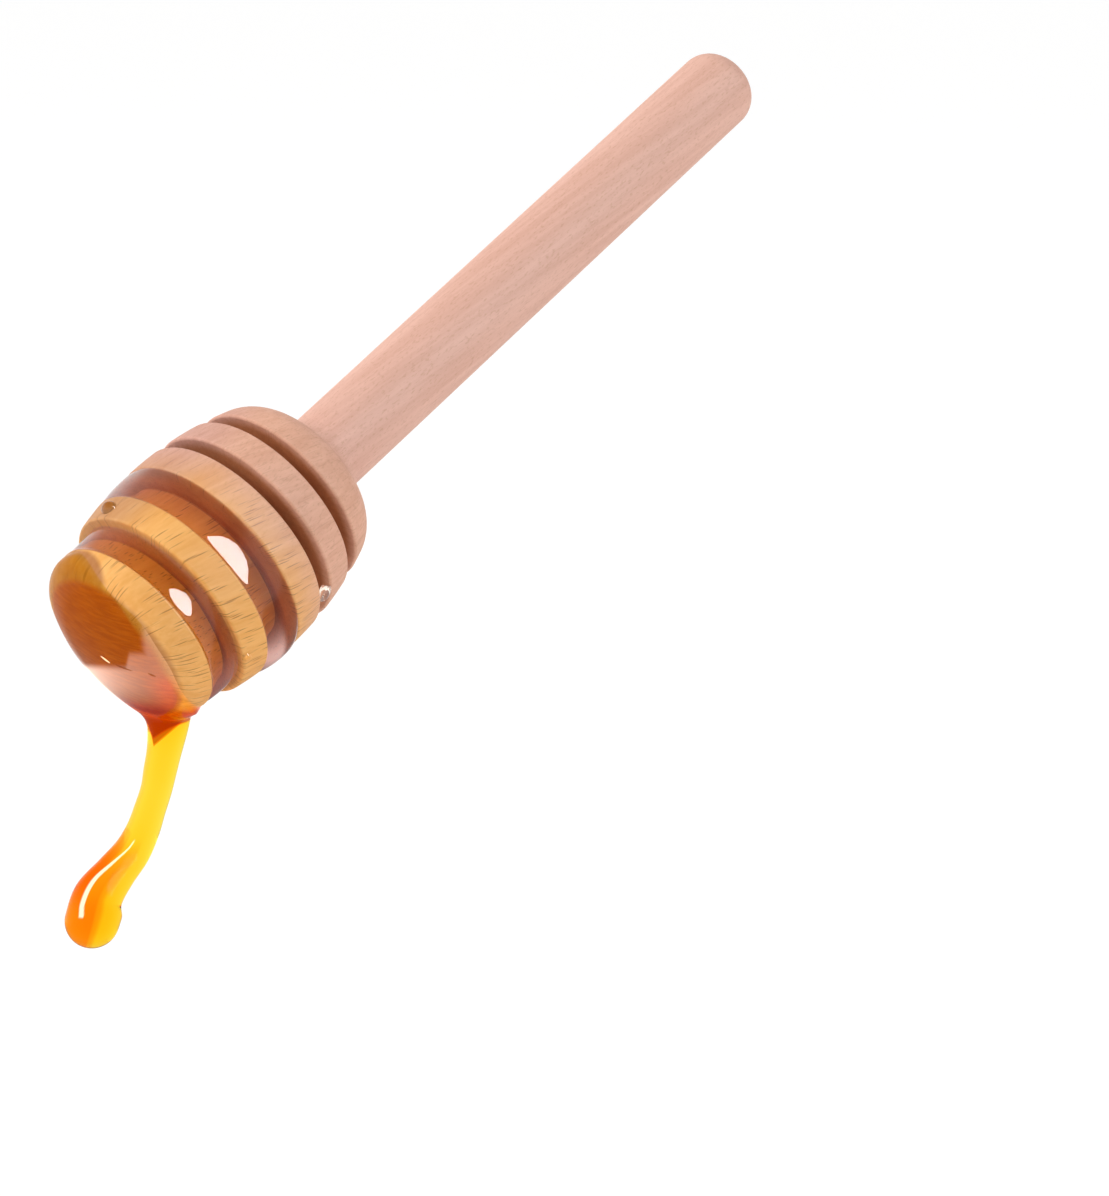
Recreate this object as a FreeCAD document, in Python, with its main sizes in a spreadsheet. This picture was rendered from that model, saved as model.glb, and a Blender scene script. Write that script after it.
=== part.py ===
import FreeCAD, Part
import os

import Sketcher

# A turned wooden honey dipper held head down, with the honey that it has just lifted.
# The wood is two pieces: a handle with a round tenon, glued into a socket in the grooved head.
# Lengths are millimetres and angles are degrees.
# The origin is on the handle's axis in the middle of the grip, and Z points up.

SIZES = [
    ("lean", 30.0, "angle of the handle above level"),
    ("handle_length", 54.0, "handle outside the head"),
    ("handle_dia", 6.9, "handle"),
    ("handle_round", 2.3, "rounded edge at the free end"),
    ("tenon_length", 12.0, "tenon inside the head"),
    ("tenon_dia", 5.0, "tenon"),
    ("tenon_bevel", 0.6, "lead-in bevel on the end of the tenon"),
    ("glue_gap", 0.1, "glue between tenon and socket, all around"),
    ("socket_room", 0.8, "room for glue past the end of the tenon"),
    ("drill_angle", 118.0, "point angle of the socket's floor"),
    ("belly_dia", 18.4, "widest part of the head"),
    ("belly_depth", 13.8, "handle joint to the widest part"),
    ("barrel_end_dia", 13.2, "barrel curve carried on to the nose"),
    ("shoulder_round", 3.6, "convex round at the top of the head"),
    ("root_fillet", 2.3, "hollow curve from the head into the handle"),
    ("nose_round", 2.2, "round at the rim of the nose"),
    ("nose_crown", 18.0, "radius of the crowned nose"),
    ("groove_depth", 4.2, "floor of the grooves under the belly"),
    ("cut_start", 1.0, "groove cutter outside the belly"),
    ("edge_round", 0.2, "sanded edges of the rings"),
    ("shoulder_length", 6.0, "handle joint to the first groove"),
    ("dry_groove", 1.35, "width of the two narrow grooves"),
    ("upper_ring", 2.65, "ring between the narrow grooves"),
    ("middle_ring", 2.8, "ring at the belly"),
    ("upper_honey_groove", 3.25, "width of the wide groove under the belly"),
    ("lower_ring", 2.4, "ring between the wide grooves"),
    ("lower_honey_groove", 2.75, "width of the wide groove above the nose"),
    ("nose_length", 3.45, "nose past the last groove"),
    ("brim_drop", 0.35, "honey's edge below the barrel curve"),
    ("meniscus_arc", 4.0, "radius of the honey's hollow surface"),
    ("coat_depth", 0.5, "honey on the middle of the nose"),
    ("drip_root_up", 3.0, "start of the drip above the nose, along the axis"),
    ("drip_root_in", 2.5, "start of the drip inside the belly's radius"),
    ("drip_slant", 13.0, "angle of the drip off plumb"),
    ("gather_dia", 6.2, "honey gathered under the nose"),
    ("gather_length", 3.6, "length over which the gather narrows"),
    ("gather_curve", 5.0, "radius of the gather's hollow side"),
    ("stream_dia", 2.5, "stream of honey"),
    ("drip_drop", 17.8, "start of the drip to the middle of the bulb"),
    ("drip_sway", 4.3, "sideways swing of the drip"),
    ("drip_bend", 5.2, "radius of the two bends of the drip"),
    ("bulb_dia", 4.3, "bulb at the end of the drip"),
]

doc = FreeCAD.newDocument("honey_dipper")
sheet = doc.addObject("Spreadsheet::Sheet", "Sizes")
for row, (alias, value, note) in enumerate(SIZES, start=1):
    sheet.set("A%d" % row, note)
    sheet.set("B%d" % row, str(value))
    sheet.setAlias("B%d" % row, alias)
doc.recompute()

ORIGIN = FreeCAD.Vector(0, 0, 0)
NORMAL = FreeCAD.Vector(0, 0, 1)
# Edges closer to a height than this lie at that height.
TOUCH = 0.001

# Depths are measured from the handle joint toward the nose. The barrel curve is the arc through the
# belly and the barrel's end, and a ring's edge is further out than halfway between floor and barrel.
JOINT = "Sizes.handle_length / 2"
UPPER_DRY = "Sizes.shoulder_length"
LOWER_DRY = UPPER_DRY + " + Sizes.dry_groove + Sizes.upper_ring"
UPPER_HONEY = LOWER_DRY + " + Sizes.dry_groove + Sizes.middle_ring"
LOWER_HONEY = UPPER_HONEY + " + Sizes.upper_honey_groove + Sizes.lower_ring"
CORE = "(Sizes.belly_dia / 2 - Sizes.groove_depth)"
BULGE = "((Sizes.belly_dia - Sizes.barrel_end_dia) / 2)"
HEAD = "(" + LOWER_HONEY + " + Sizes.lower_honey_groove + Sizes.nose_length)"
REACH = "(%s - Sizes.belly_depth)" % HEAD
BARREL = "((%s ^ 2 + %s ^ 2) / (2 * %s))" % (REACH, BULGE, BULGE)
RING_SIDE = "(%s / 2 + Sizes.barrel_end_dia / 4)" % CORE
SOCKET_RADIUS = "(Sizes.tenon_dia / 2 + Sizes.glue_gap)"
SOCKET_DEPTH = "(Sizes.tenon_length + Sizes.socket_room)"
DRILL_POINT = SOCKET_RADIUS + " / tan(Sizes.drill_angle * 0.5 deg)"


def number(expression):
    """The present value of an expression on the sizes."""
    return float(sheet.evalExpression(expression))


def depth(expression):
    """The height in a sketch of a depth below the handle joint."""
    return "-(%s) - (%s)" % (JOINT, expression)


def tipped(angle):
    """A placement at the origin, tipped about the Y axis."""
    return FreeCAD.Placement(ORIGIN, FreeCAD.Rotation(FreeCAD.Vector(0, 1, 0), number(angle)))


def leaning_body(label):
    """A body whose own Z axis is the dipper's axis."""
    body = doc.addObject("PartDesign::Body", label)
    body.Label = label
    body.Placement = tipped("90 - Sizes.lean")
    body.setExpression("Placement.Rotation.Angle", "(90 - Sizes.lean) * 1 deg")
    return body


def plane_sketch(body, label, plane="XZ_Plane"):
    """A sketch on one of the body's own origin planes."""
    sketch = body.newObject("Sketcher::SketchObject", label)
    for feature in body.Origin.OriginFeatures:
        if feature.Role == plane:
            sketch.AttachmentSupport = [(feature, "")]
    sketch.MapMode = "FlatFace"
    sketch.Visibility = False
    return sketch


def hold(sketch, kind, *places):
    """A constraint of the sketch without a size."""
    sketch.addConstraint(Sketcher.Constraint(kind, *places))


def bind(sketch, kind, *places, expression):
    """A dimension of the sketch that follows an expression on the sizes."""
    index = sketch.addConstraint(Sketcher.Constraint(kind, *places, number(expression)))
    sketch.setExpression("Constraints[%d]" % index, expression)


def pin_point(sketch, line, end, across, along):
    """Holds a point at a distance from the axis and a height."""
    if across == "0":
        hold(sketch, "PointOnObject", line, end, -2)
    else:
        bind(sketch, "DistanceX", -1, 1, line, end, expression=across)
    if number(along) < 0:
        bind(sketch, "DistanceY", line, end, -1, 1, expression="-(%s)" % along)
    else:
        bind(sketch, "DistanceY", -1, 1, line, end, expression=along)


def closed_lines(sketch, corners):
    """A closed outline of straight lines, with every corner pinned."""
    points = [FreeCAD.Vector(number(across), number(along), 0) for across, along in corners]
    count = len(points)
    for index in range(count):
        sketch.addGeometry(Part.LineSegment(points[index], points[(index + 1) % count]), False)
    for index in range(count):
        hold(sketch, "Coincident", index, 2, (index + 1) % count, 1)
    for index, (across, along) in enumerate(corners):
        pin_point(sketch, index, 1, across, along)


def turned(body, sketch, label, kind="PartDesign::Revolution"):
    """Turns a sketch once around the body's axis."""
    feature = body.newObject(kind, label)
    feature.Profile = sketch
    feature.ReferenceAxis = (sketch, ["V_Axis"])
    feature.Angle = 360
    doc.recompute()
    return feature


def circles_meet(first, first_radius, second, second_radius):
    """Where two circles cross, at the crossing further from the axis."""
    line = second - first
    along = (first_radius ** 2 - second_radius ** 2 + line.Length ** 2) / (2 * line.Length)
    across = (first_radius ** 2 - along ** 2) ** 0.5
    unit = line / line.Length
    side = FreeCAD.Vector(-unit.y, unit.x, 0)
    crossings = (first + unit * along + side * across, first + unit * along - side * across)
    return max(crossings, key=lambda point: point.x)


def arc_between(centre, radius, start, end):
    """An arc that runs the short way from one point to another."""
    middle = (start + end) / 2 - centre
    return Part.Arc(start, centre + middle / middle.Length * radius, end)


def circle_edges(feature, heights, least_radius):
    """Names of a feature's full circles around the axis, at given heights and above a radius."""
    names = []
    for index, edge in enumerate(feature.Shape.Edges, start=1):
        box = edge.BoundBox
        flat = not edge.Degenerated and box.ZMax - box.ZMin < TOUCH
        level = any(abs(box.ZMin - height) < TOUCH for height in heights)
        if flat and level and box.XMax > least_radius:
            names.append("Edge%d" % index)
    return names


def eased(body, feature, label, heights, least_radius, radius):
    """Rounds a feature's full circles at given heights."""
    fillet = body.newObject("PartDesign::Fillet", label)
    fillet.Base = (feature, circle_edges(feature, heights, number(least_radius)))
    fillet.Radius = number(radius)
    fillet.setExpression("Radius", radius)
    doc.recompute()


def arc_end(sketch, arc, point):
    """Which end of an arc, 1 or 2, is at a point."""
    first = sketch.getPoint(arc, 1)
    second = sketch.getPoint(arc, 2)
    return 1 if first.distanceToPoint(point) < second.distanceToPoint(point) else 2


def barrel_points():
    """Centres and joints of the curves along the side of the head, as the sizes now stand."""
    joint = FreeCAD.Vector(0, -number(JOINT), 0)
    barrel_x = number("Sizes.belly_dia / 2 - " + BARREL)
    barrel = FreeCAD.Vector(barrel_x, joint.y - number("Sizes.belly_depth"), 0)
    fillet = FreeCAD.Vector(number("Sizes.handle_dia / 2 + Sizes.root_fillet"), joint.y, 0)
    nose = FreeCAD.Vector(0, joint.y - number(HEAD), 0)
    crown = FreeCAD.Vector(0, nose.y + number("Sizes.nose_crown"), 0)
    big = number(BARREL)
    round_radius = number("Sizes.shoulder_round")
    rim_radius = number("Sizes.nose_round")
    both_rounds = round_radius + number("Sizes.root_fillet")
    shoulder = circles_meet(barrel, big - round_radius, fillet, both_rounds)
    rim = circles_meet(barrel, big - rim_radius, crown, number("Sizes.nose_crown") - rim_radius)
    return joint, barrel, fillet, nose, crown, shoulder, rim


def hold_barrel(sketch, arc):
    """Holds an arc or a circle on the barrel curve's middle."""
    bind(sketch, "DistanceX", arc, 3, -1, 1, expression=BARREL + " - Sizes.belly_dia / 2")
    bind(sketch, "DistanceY", arc, 3, -1, 1, expression="%s + Sizes.belly_depth" % JOINT)


def hold_crown(sketch, arc, end):
    """Holds an arc on the nose's crown, with one end on the axis."""
    hold(sketch, "PointOnObject", arc, 3, -2)
    hold(sketch, "PointOnObject", arc, end, -2)
    bind(sketch, "DistanceY", arc, end, -1, 1, expression="%s + %s" % (JOINT, HEAD))
    bind(sketch, "Radius", arc, expression="Sizes.nose_crown")


# Handle: a dowel with a rounded free end and a bevelled tenon.
handle = leaning_body("handle")
grip_sketch = plane_sketch(handle, "grip_outline")
closed_lines(grip_sketch, [
    ("0", "-(%s)" % JOINT),
    ("Sizes.handle_dia / 2", "-(%s)" % JOINT),
    ("Sizes.handle_dia / 2", JOINT),
    ("0", JOINT),
])
turned(handle, grip_sketch, "grip")
tenon_sketch = plane_sketch(handle, "tenon_outline")
closed_lines(tenon_sketch, [
    ("0", depth("Sizes.tenon_length")),
    ("Sizes.tenon_dia / 2 - Sizes.tenon_bevel", depth("Sizes.tenon_length")),
    ("Sizes.tenon_dia / 2", depth("Sizes.tenon_length - Sizes.tenon_bevel")),
    ("Sizes.tenon_dia / 2", "-(%s)" % JOINT),
    ("0", "-(%s)" % JOINT),
])
tenon = turned(handle, tenon_sketch, "tenon")
eased(handle, tenon, "free_end", [number(JOINT)], "Sizes.tenon_dia / 2", "Sizes.handle_round")

# Head: a barrel with a hollow neck and a crowned nose, cut by four grooves and a blind socket.
head = leaning_body("dipper_head")
outline = plane_sketch(head, "head_outline")
joint, barrel, fillet, nose, crown, shoulder, rim = barrel_points()
neck = FreeCAD.Vector(number("Sizes.handle_dia / 2"), joint.y, 0)
shoulder_radius = number("Sizes.shoulder_round")
hollow_end = shoulder + (fillet - shoulder).normalize() * shoulder_radius
barrel_top = barrel + (shoulder - barrel).normalize() * number(BARREL)
barrel_end = barrel + (rim - barrel).normalize() * number(BARREL)
crown_start = crown + (rim - crown).normalize() * number("Sizes.nose_crown")
outline.addGeometry(Part.LineSegment(joint, neck), False)
outline.addGeometry(arc_between(fillet, number("Sizes.root_fillet"), neck, hollow_end), False)
outline.addGeometry(arc_between(shoulder, shoulder_radius, hollow_end, barrel_top), False)
outline.addGeometry(arc_between(barrel, number(BARREL), barrel_top, barrel_end), False)
outline.addGeometry(arc_between(rim, number("Sizes.nose_round"), barrel_end, crown_start), False)
outline.addGeometry(arc_between(crown, number("Sizes.nose_crown"), crown_start, nose), False)
outline.addGeometry(Part.LineSegment(nose, joint), False)
hold(outline, "PointOnObject", 0, 1, -2)
hold(outline, "Horizontal", 0)
bind(outline, "DistanceY", 0, 1, -1, 1, expression=JOINT)
bind(outline, "DistanceX", 0, 1, 0, 2, expression="Sizes.handle_dia / 2")
hold(outline, "Coincident", 0, 2, 1, arc_end(outline, 1, neck))
hold(outline, "Horizontal", 0, 2, 1, 3)
bind(outline, "Radius", 1, expression="Sizes.root_fillet")
for first, point in ((1, hollow_end), (2, barrel_top), (3, barrel_end), (4, crown_start)):
    ends = (arc_end(outline, first, point), arc_end(outline, first + 1, point))
    hold(outline, "Tangent", first, ends[0], first + 1, ends[1])
bind(outline, "Radius", 2, expression="Sizes.shoulder_round")
bind(outline, "Radius", 3, expression=BARREL)
hold_barrel(outline, 3)
bind(outline, "Radius", 4, expression="Sizes.nose_round")
hold_crown(outline, 5, arc_end(outline, 5, nose))
hold(outline, "Coincident", 5, arc_end(outline, 5, nose), 6, 1)
hold(outline, "Coincident", 6, 2, 0, 1)
turned(head, outline, "barrel")

GROOVES = [
    ("upper_dry_groove", UPPER_DRY, "Sizes.dry_groove"),
    ("lower_dry_groove", LOWER_DRY, "Sizes.dry_groove"),
    ("upper_wet_groove", UPPER_HONEY, "Sizes.upper_honey_groove"),
    ("lower_wet_groove", LOWER_HONEY, "Sizes.lower_honey_groove"),
]
ring_edges = []
for label, start, width in GROOVES:
    before = head.Shape.Volume
    sketch = plane_sketch(head, label + "_outline")
    top = depth(start)
    floor = depth("%s + %s" % (start, width))
    closed_lines(sketch, [
        (CORE, top),
        ("Sizes.belly_dia / 2 + Sizes.cut_start", top),
        ("Sizes.belly_dia / 2 + Sizes.cut_start", floor),
        (CORE, floor),
    ])
    last_cut = turned(head, sketch, label, "PartDesign::Groove")
    if head.Shape.Volume >= before:
        raise RuntimeError(label + " took no wood away")
    ring_edges += [number(top), number(floor)]
eased(head, last_cut, "ring_edges", ring_edges, RING_SIDE, "Sizes.edge_round")

before = head.Shape.Volume
socket_sketch = plane_sketch(head, "socket_outline")
closed_lines(socket_sketch, [
    ("0", "-(%s)" % JOINT),
    (SOCKET_RADIUS, "-(%s)" % JOINT),
    (SOCKET_RADIUS, depth(SOCKET_DEPTH)),
    ("0", depth("%s + %s" % (SOCKET_DEPTH, DRILL_POINT))),
])
turned(head, socket_sketch, "socket", "PartDesign::Groove")
if head.Shape.Volume >= before:
    raise RuntimeError("the socket took no wood away")

# Glue: fills the socket around the tenon and past its end.
glue = leaning_body("joint_glue")
glue_sketch = plane_sketch(glue, "glue_outline")
closed_lines(glue_sketch, [
    ("Sizes.tenon_dia / 2", "-(%s)" % JOINT),
    (SOCKET_RADIUS, "-(%s)" % JOINT),
    (SOCKET_RADIUS, depth(SOCKET_DEPTH)),
    ("0", depth("%s + %s" % (SOCKET_DEPTH, DRILL_POINT))),
    ("0", depth("Sizes.tenon_length")),
    ("Sizes.tenon_dia / 2 - Sizes.tenon_bevel", depth("Sizes.tenon_length")),
    ("Sizes.tenon_dia / 2", depth("Sizes.tenon_length - Sizes.tenon_bevel")),
])
turned(glue, glue_sketch, "glue")


def honey_ring(label, start, width):
    """Honey in a groove, from the floor up to a hollow surface just under the rings' edges."""
    body = leaning_body(label)
    sketch = plane_sketch(body, label + "_outline")
    middle = barrel_points()[1]
    brim = number(BARREL + " - Sizes.brim_drop")
    top = number(depth(start))
    floor = number(depth("%s + %s" % (start, width)))
    core = number(CORE)
    upper = FreeCAD.Vector(middle.x + (brim ** 2 - (top - middle.y) ** 2) ** 0.5, top, 0)
    lower = FreeCAD.Vector(middle.x + (brim ** 2 - (floor - middle.y) ** 2) ** 0.5, floor, 0)
    core_top = FreeCAD.Vector(core, top, 0)
    core_floor = FreeCAD.Vector(core, floor, 0)
    sketch.addGeometry(Part.LineSegment(core_floor, core_top), False)
    sketch.addGeometry(Part.LineSegment(core_top, upper), False)
    radius = number("Sizes.meniscus_arc")
    hollow = circles_meet(upper, radius, lower, radius)
    sketch.addGeometry(arc_between(hollow, radius, upper, lower), False)
    sketch.addGeometry(Part.LineSegment(lower, core_floor), False)
    sketch.addGeometry(Part.Circle(middle, NORMAL, brim), True)
    hold(sketch, "Coincident", 0, 2, 1, 1)
    hold(sketch, "Coincident", 1, 2, 2, arc_end(sketch, 2, upper))
    hold(sketch, "Coincident", 2, arc_end(sketch, 2, lower), 3, 1)
    hold(sketch, "Coincident", 3, 2, 0, 1)
    hold(sketch, "Horizontal", 1)
    hold(sketch, "Horizontal", 3)
    pin_point(sketch, 0, 2, CORE, depth(start))
    pin_point(sketch, 0, 1, CORE, depth("%s + %s" % (start, width)))
    hold_barrel(sketch, 4)
    bind(sketch, "Radius", 4, expression=BARREL + " - Sizes.brim_drop")
    hold(sketch, "PointOnObject", 1, 2, 4)
    hold(sketch, "PointOnObject", 3, 1, 4)
    bind(sketch, "Radius", 2, expression="Sizes.meniscus_arc")
    turned(body, sketch, label + "_fill")
    return body


upper_honey = honey_ring("honey_upper_ring", UPPER_HONEY, "Sizes.upper_honey_groove")
lower_honey = honey_ring("honey_lower_ring", LOWER_HONEY, "Sizes.lower_honey_groove")

# Honey on the nose: a lens that runs out where the crown meets the rim's round.
coat = leaning_body("honey_nose_coat")
coat_sketch = plane_sketch(coat, "coat_outline")
joint, barrel, fillet, nose, crown, shoulder, rim = barrel_points()
lens_tip = FreeCAD.Vector(0, nose.y - number("Sizes.coat_depth"), 0)
chord = crown_start - lens_tip
lens_radius = (chord.x ** 2 + chord.y ** 2) / (2 * chord.y)
lens_middle = FreeCAD.Vector(0, lens_tip.y + lens_radius, 0)
coat_sketch.addGeometry(arc_between(crown, number("Sizes.nose_crown"), crown_start, nose), False)
coat_sketch.addGeometry(Part.LineSegment(nose, lens_tip), False)
coat_sketch.addGeometry(arc_between(lens_middle, lens_radius, lens_tip, crown_start), False)
coat_sketch.addGeometry(arc_between(rim, number("Sizes.nose_round"), barrel_end, crown_start), True)
coat_sketch.addGeometry(Part.Circle(barrel, NORMAL, number(BARREL)), True)
crown_end = arc_end(coat_sketch, 0, nose)
hold_crown(coat_sketch, 0, crown_end)
hold(coat_sketch, "Coincident", 0, crown_end, 1, 1)
hold(coat_sketch, "Vertical", 1)
bind(coat_sketch, "DistanceY", 1, 2, 1, 1, expression="Sizes.coat_depth")
hold(coat_sketch, "Coincident", 1, 2, 2, arc_end(coat_sketch, 2, lens_tip))
hold(coat_sketch, "Coincident", 0, 3 - crown_end, 2, arc_end(coat_sketch, 2, crown_start))
hold(coat_sketch, "PointOnObject", 2, 3, -2)
hold_barrel(coat_sketch, 4)
bind(coat_sketch, "Radius", 4, expression=BARREL)
bind(coat_sketch, "Radius", 3, expression="Sizes.nose_round")
rim_end = arc_end(coat_sketch, 3, crown_start)
hold(coat_sketch, "Tangent", 0, 3 - crown_end, 3, rim_end)
hold(coat_sketch, "Tangent", 3, 3 - rim_end, 4)
turned(coat, coat_sketch, "coat")

# Drip: a gather under the nose, a stream with two bends and a bulb, cut to fit the head and its honey.
drip = doc.addObject("PartDesign::Body", "drip_blank")
drip.Label = "drip_blank"
BACK = "(%s + %s - Sizes.drip_root_up)" % (JOINT, HEAD)
DOWN = "(Sizes.belly_dia / 2 - Sizes.drip_root_in)"
drip.Placement = tipped("Sizes.drip_slant")
drip.setExpression("Placement.Rotation.Angle", "Sizes.drip_slant * 1 deg")
SINE = "sin(Sizes.lean * 1 deg)"
COSINE = "cos(Sizes.lean * 1 deg)"
drip.setExpression("Placement.Base.x", "%s * %s - %s * %s" % (DOWN, SINE, BACK, COSINE))
drip.setExpression("Placement.Base.z", "-%s * %s - %s * %s" % (DOWN, COSINE, BACK, SINE))

gather_sketch = plane_sketch(drip, "gather_outline")
wide = FreeCAD.Vector(number("Sizes.gather_dia / 2"), 0, 0)
slim = FreeCAD.Vector(number("Sizes.stream_dia / 2"), -number("Sizes.gather_length"), 0)
curve = number("Sizes.gather_curve")
gather_sketch.addGeometry(Part.LineSegment(ORIGIN, wide), False)
gather_sketch.addGeometry(arc_between(circles_meet(wide, curve, slim, curve), curve, wide, slim), False)
gather_sketch.addGeometry(Part.LineSegment(slim, FreeCAD.Vector(0, slim.y, 0)), False)
gather_sketch.addGeometry(Part.LineSegment(FreeCAD.Vector(0, slim.y, 0), ORIGIN), False)
hold(gather_sketch, "Coincident", 0, 1, -1, 1)
hold(gather_sketch, "Horizontal", 0)
bind(gather_sketch, "DistanceX", -1, 1, 0, 2, expression="Sizes.gather_dia / 2")
hold(gather_sketch, "Coincident", 0, 2, 1, arc_end(gather_sketch, 1, wide))
hold(gather_sketch, "Coincident", 1, arc_end(gather_sketch, 1, slim), 2, 1)
bind(gather_sketch, "Radius", 1, expression="Sizes.gather_curve")
pin_point(gather_sketch, 2, 1, "Sizes.stream_dia / 2", "-Sizes.gather_length")
hold(gather_sketch, "Horizontal", 2)
hold(gather_sketch, "PointOnObject", 2, 2, -2)
hold(gather_sketch, "Coincident", 2, 2, 3, 1)
hold(gather_sketch, "Coincident", 3, 2, 0, 1)
turned(drip, gather_sketch, "gather")

spine = plane_sketch(drip, "stream_path")
bend = number("Sizes.drip_bend")
sway = number("Sizes.drip_sway")
drop = number("Sizes.drip_drop")
rise = (4 * bend * sway - sway ** 2) ** 0.5
bend_start = FreeCAD.Vector(0, rise - drop, 0)
bend_middle = FreeCAD.Vector(-sway / 2, rise / 2 - drop, 0)
bend_end = FreeCAD.Vector(-sway, -drop, 0)
first_centre = FreeCAD.Vector(-bend, bend_start.y, 0)
second_centre = FreeCAD.Vector(bend - sway, -drop, 0)
spine.addGeometry(Part.LineSegment(ORIGIN, bend_start), False)
spine.addGeometry(arc_between(first_centre, bend, bend_start, bend_middle), False)
spine.addGeometry(arc_between(second_centre, bend, bend_middle, bend_end), False)
hold(spine, "Coincident", 0, 1, -1, 1)
hold(spine, "Vertical", 0)
hold(spine, "Tangent", 0, 2, 1, arc_end(spine, 1, bend_start))
ends = (arc_end(spine, 1, bend_middle), arc_end(spine, 2, bend_middle))
hold(spine, "Tangent", 1, ends[0], 2, ends[1])
last = arc_end(spine, 2, bend_end)
hold(spine, "Horizontal", 2, 3, 2, last)
bind(spine, "Radius", 1, expression="Sizes.drip_bend")
bind(spine, "Radius", 2, expression="Sizes.drip_bend")
bind(spine, "DistanceX", 2, last, -1, 1, expression="Sizes.drip_sway")
bind(spine, "DistanceY", 2, last, -1, 1, expression="Sizes.drip_drop")
ring = plane_sketch(drip, "stream_section", "XY_Plane")
ring.addGeometry(Part.Circle(ORIGIN, NORMAL, number("Sizes.stream_dia / 2")), False)
hold(ring, "Coincident", 0, 3, -1, 1)
bind(ring, "Radius", 0, expression="Sizes.stream_dia / 2")
doc.recompute()
stream = drip.newObject("PartDesign::AdditivePipe", "stream")
stream.Profile = ring
stream.Spine = (spine, ["Edge1", "Edge2", "Edge3"])
doc.recompute()
bulb = drip.newObject("PartDesign::AdditiveSphere", "bulb")
for feature in drip.Origin.OriginFeatures:
    if feature.Role == "XY_Plane":
        bulb.AttachmentSupport = [(feature, "")]
bulb.MapMode = "FlatFace"
bulb.Radius = number("Sizes.bulb_dia / 2")
bulb.setExpression("Radius", "Sizes.bulb_dia / 2")
bulb.setExpression("AttachmentOffset.Base.x", "-Sizes.drip_sway")
bulb.setExpression("AttachmentOffset.Base.z", "-Sizes.drip_drop")
doc.recompute()

whole = drip
for label, tool in (("drip_on_head", head), ("drip_on_ring", lower_honey), ("honey_drip", coat)):
    cut = doc.addObject("Part::Cut", label)
    cut.Label = label
    cut.Base = whole
    cut.Tool = tool
    doc.recompute()
    whole = cut

NODES = [handle, head, glue, upper_honey, lower_honey, coat, whole]
for item in doc.Objects:
    if "Invalid" in item.State or "Error" in item.State:
        raise RuntimeError("%s did not build" % item.Label)
os.makedirs("parts", exist_ok=True)
for node in NODES:
    shape = node.Shape
    if shape.isNull() or not shape.isValid() or len(shape.Solids) != 1:
        raise RuntimeError("%s is not one sound solid" % node.Label)
    shape.exportStep("parts/%s.step" % node.Label)
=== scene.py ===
"""Dresses a wooden honey dipper: turned beech, honey in its grooves and on its nose, and a white studio."""
import logging
import math
from collections.abc import Callable
from dataclasses import dataclass
from enum import Enum

import bpy
import numpy as np
from mathutils import Matrix, Vector


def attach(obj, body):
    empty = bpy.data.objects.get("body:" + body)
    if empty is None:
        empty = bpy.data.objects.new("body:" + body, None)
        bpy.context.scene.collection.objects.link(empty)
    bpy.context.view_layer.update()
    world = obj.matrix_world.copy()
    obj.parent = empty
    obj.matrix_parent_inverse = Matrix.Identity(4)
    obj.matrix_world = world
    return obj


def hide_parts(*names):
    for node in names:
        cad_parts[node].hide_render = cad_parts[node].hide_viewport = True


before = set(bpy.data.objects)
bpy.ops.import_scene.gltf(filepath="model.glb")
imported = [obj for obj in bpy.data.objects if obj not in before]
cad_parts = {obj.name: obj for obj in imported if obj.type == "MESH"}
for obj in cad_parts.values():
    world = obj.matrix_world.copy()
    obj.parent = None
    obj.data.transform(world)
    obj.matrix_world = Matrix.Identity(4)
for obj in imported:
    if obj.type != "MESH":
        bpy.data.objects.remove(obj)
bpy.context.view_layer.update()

LOG = logging.getLogger("honey_dipper")
MM = 0.001
SIDEWAYS = np.array([0.0, 1.0, 0.0])

Colour = tuple[float, float, float, float]
Triple = tuple[float, float, float]
BLACK: Colour = (0.0, 0.0, 0.0, 1.0)
WHITE: Colour = (1.0, 1.0, 1.0, 1.0)


@dataclass(frozen=True)
class DipperAxis:
    """The leaning axis that the dipper is turned about, with lengths in millimetres.

    A place on the dipper is a depth below the handle joint, a radius, and a turn about the axis
    that is zero on the underside.
    """

    lean: float = 30.0
    joint: float = 27.0

    @property
    def up_handle(self) -> np.ndarray:
        """Unit vector along the axis, toward the free end of the handle."""
        return np.array([math.cos(math.radians(self.lean)), 0.0, math.sin(math.radians(self.lean))])

    @property
    def underside(self) -> np.ndarray:
        """Unit vector square to the axis, toward the underside."""
        return np.array([math.sin(math.radians(self.lean)), 0.0, -math.cos(math.radians(self.lean))])

    def place(self, depth: np.ndarray, radius: np.ndarray, turn: np.ndarray) -> np.ndarray:
        """Points in millimetres: depth down the axis, plus radius along the turned underside vector.

        Args:
            depth: Depths below the handle joint.
            radius: Distances from the axis.
            turn: Angles about the axis in radians.

        Returns:
            An array with a last side of three coordinates.
        """
        depth, radius, turn = np.broadcast_arrays(depth, radius, turn)
        across = np.cos(turn)[..., None] * self.underside + np.sin(turn)[..., None] * SIDEWAYS
        return -(self.joint + depth)[..., None] * self.up_handle + radius[..., None] * across

    def measure(self, points: np.ndarray) -> tuple[np.ndarray, np.ndarray, np.ndarray]:
        """Depth, radius and turn of points in millimetres, the inverse of place.

        Args:
            points: An array with a last side of three coordinates.

        Returns:
            Depths, radii and turns.
        """
        depth = -points @ self.up_handle - self.joint
        low = points @ self.underside
        side = points[..., 1]
        return depth, np.hypot(low, side), np.arctan2(side, low)


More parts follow.
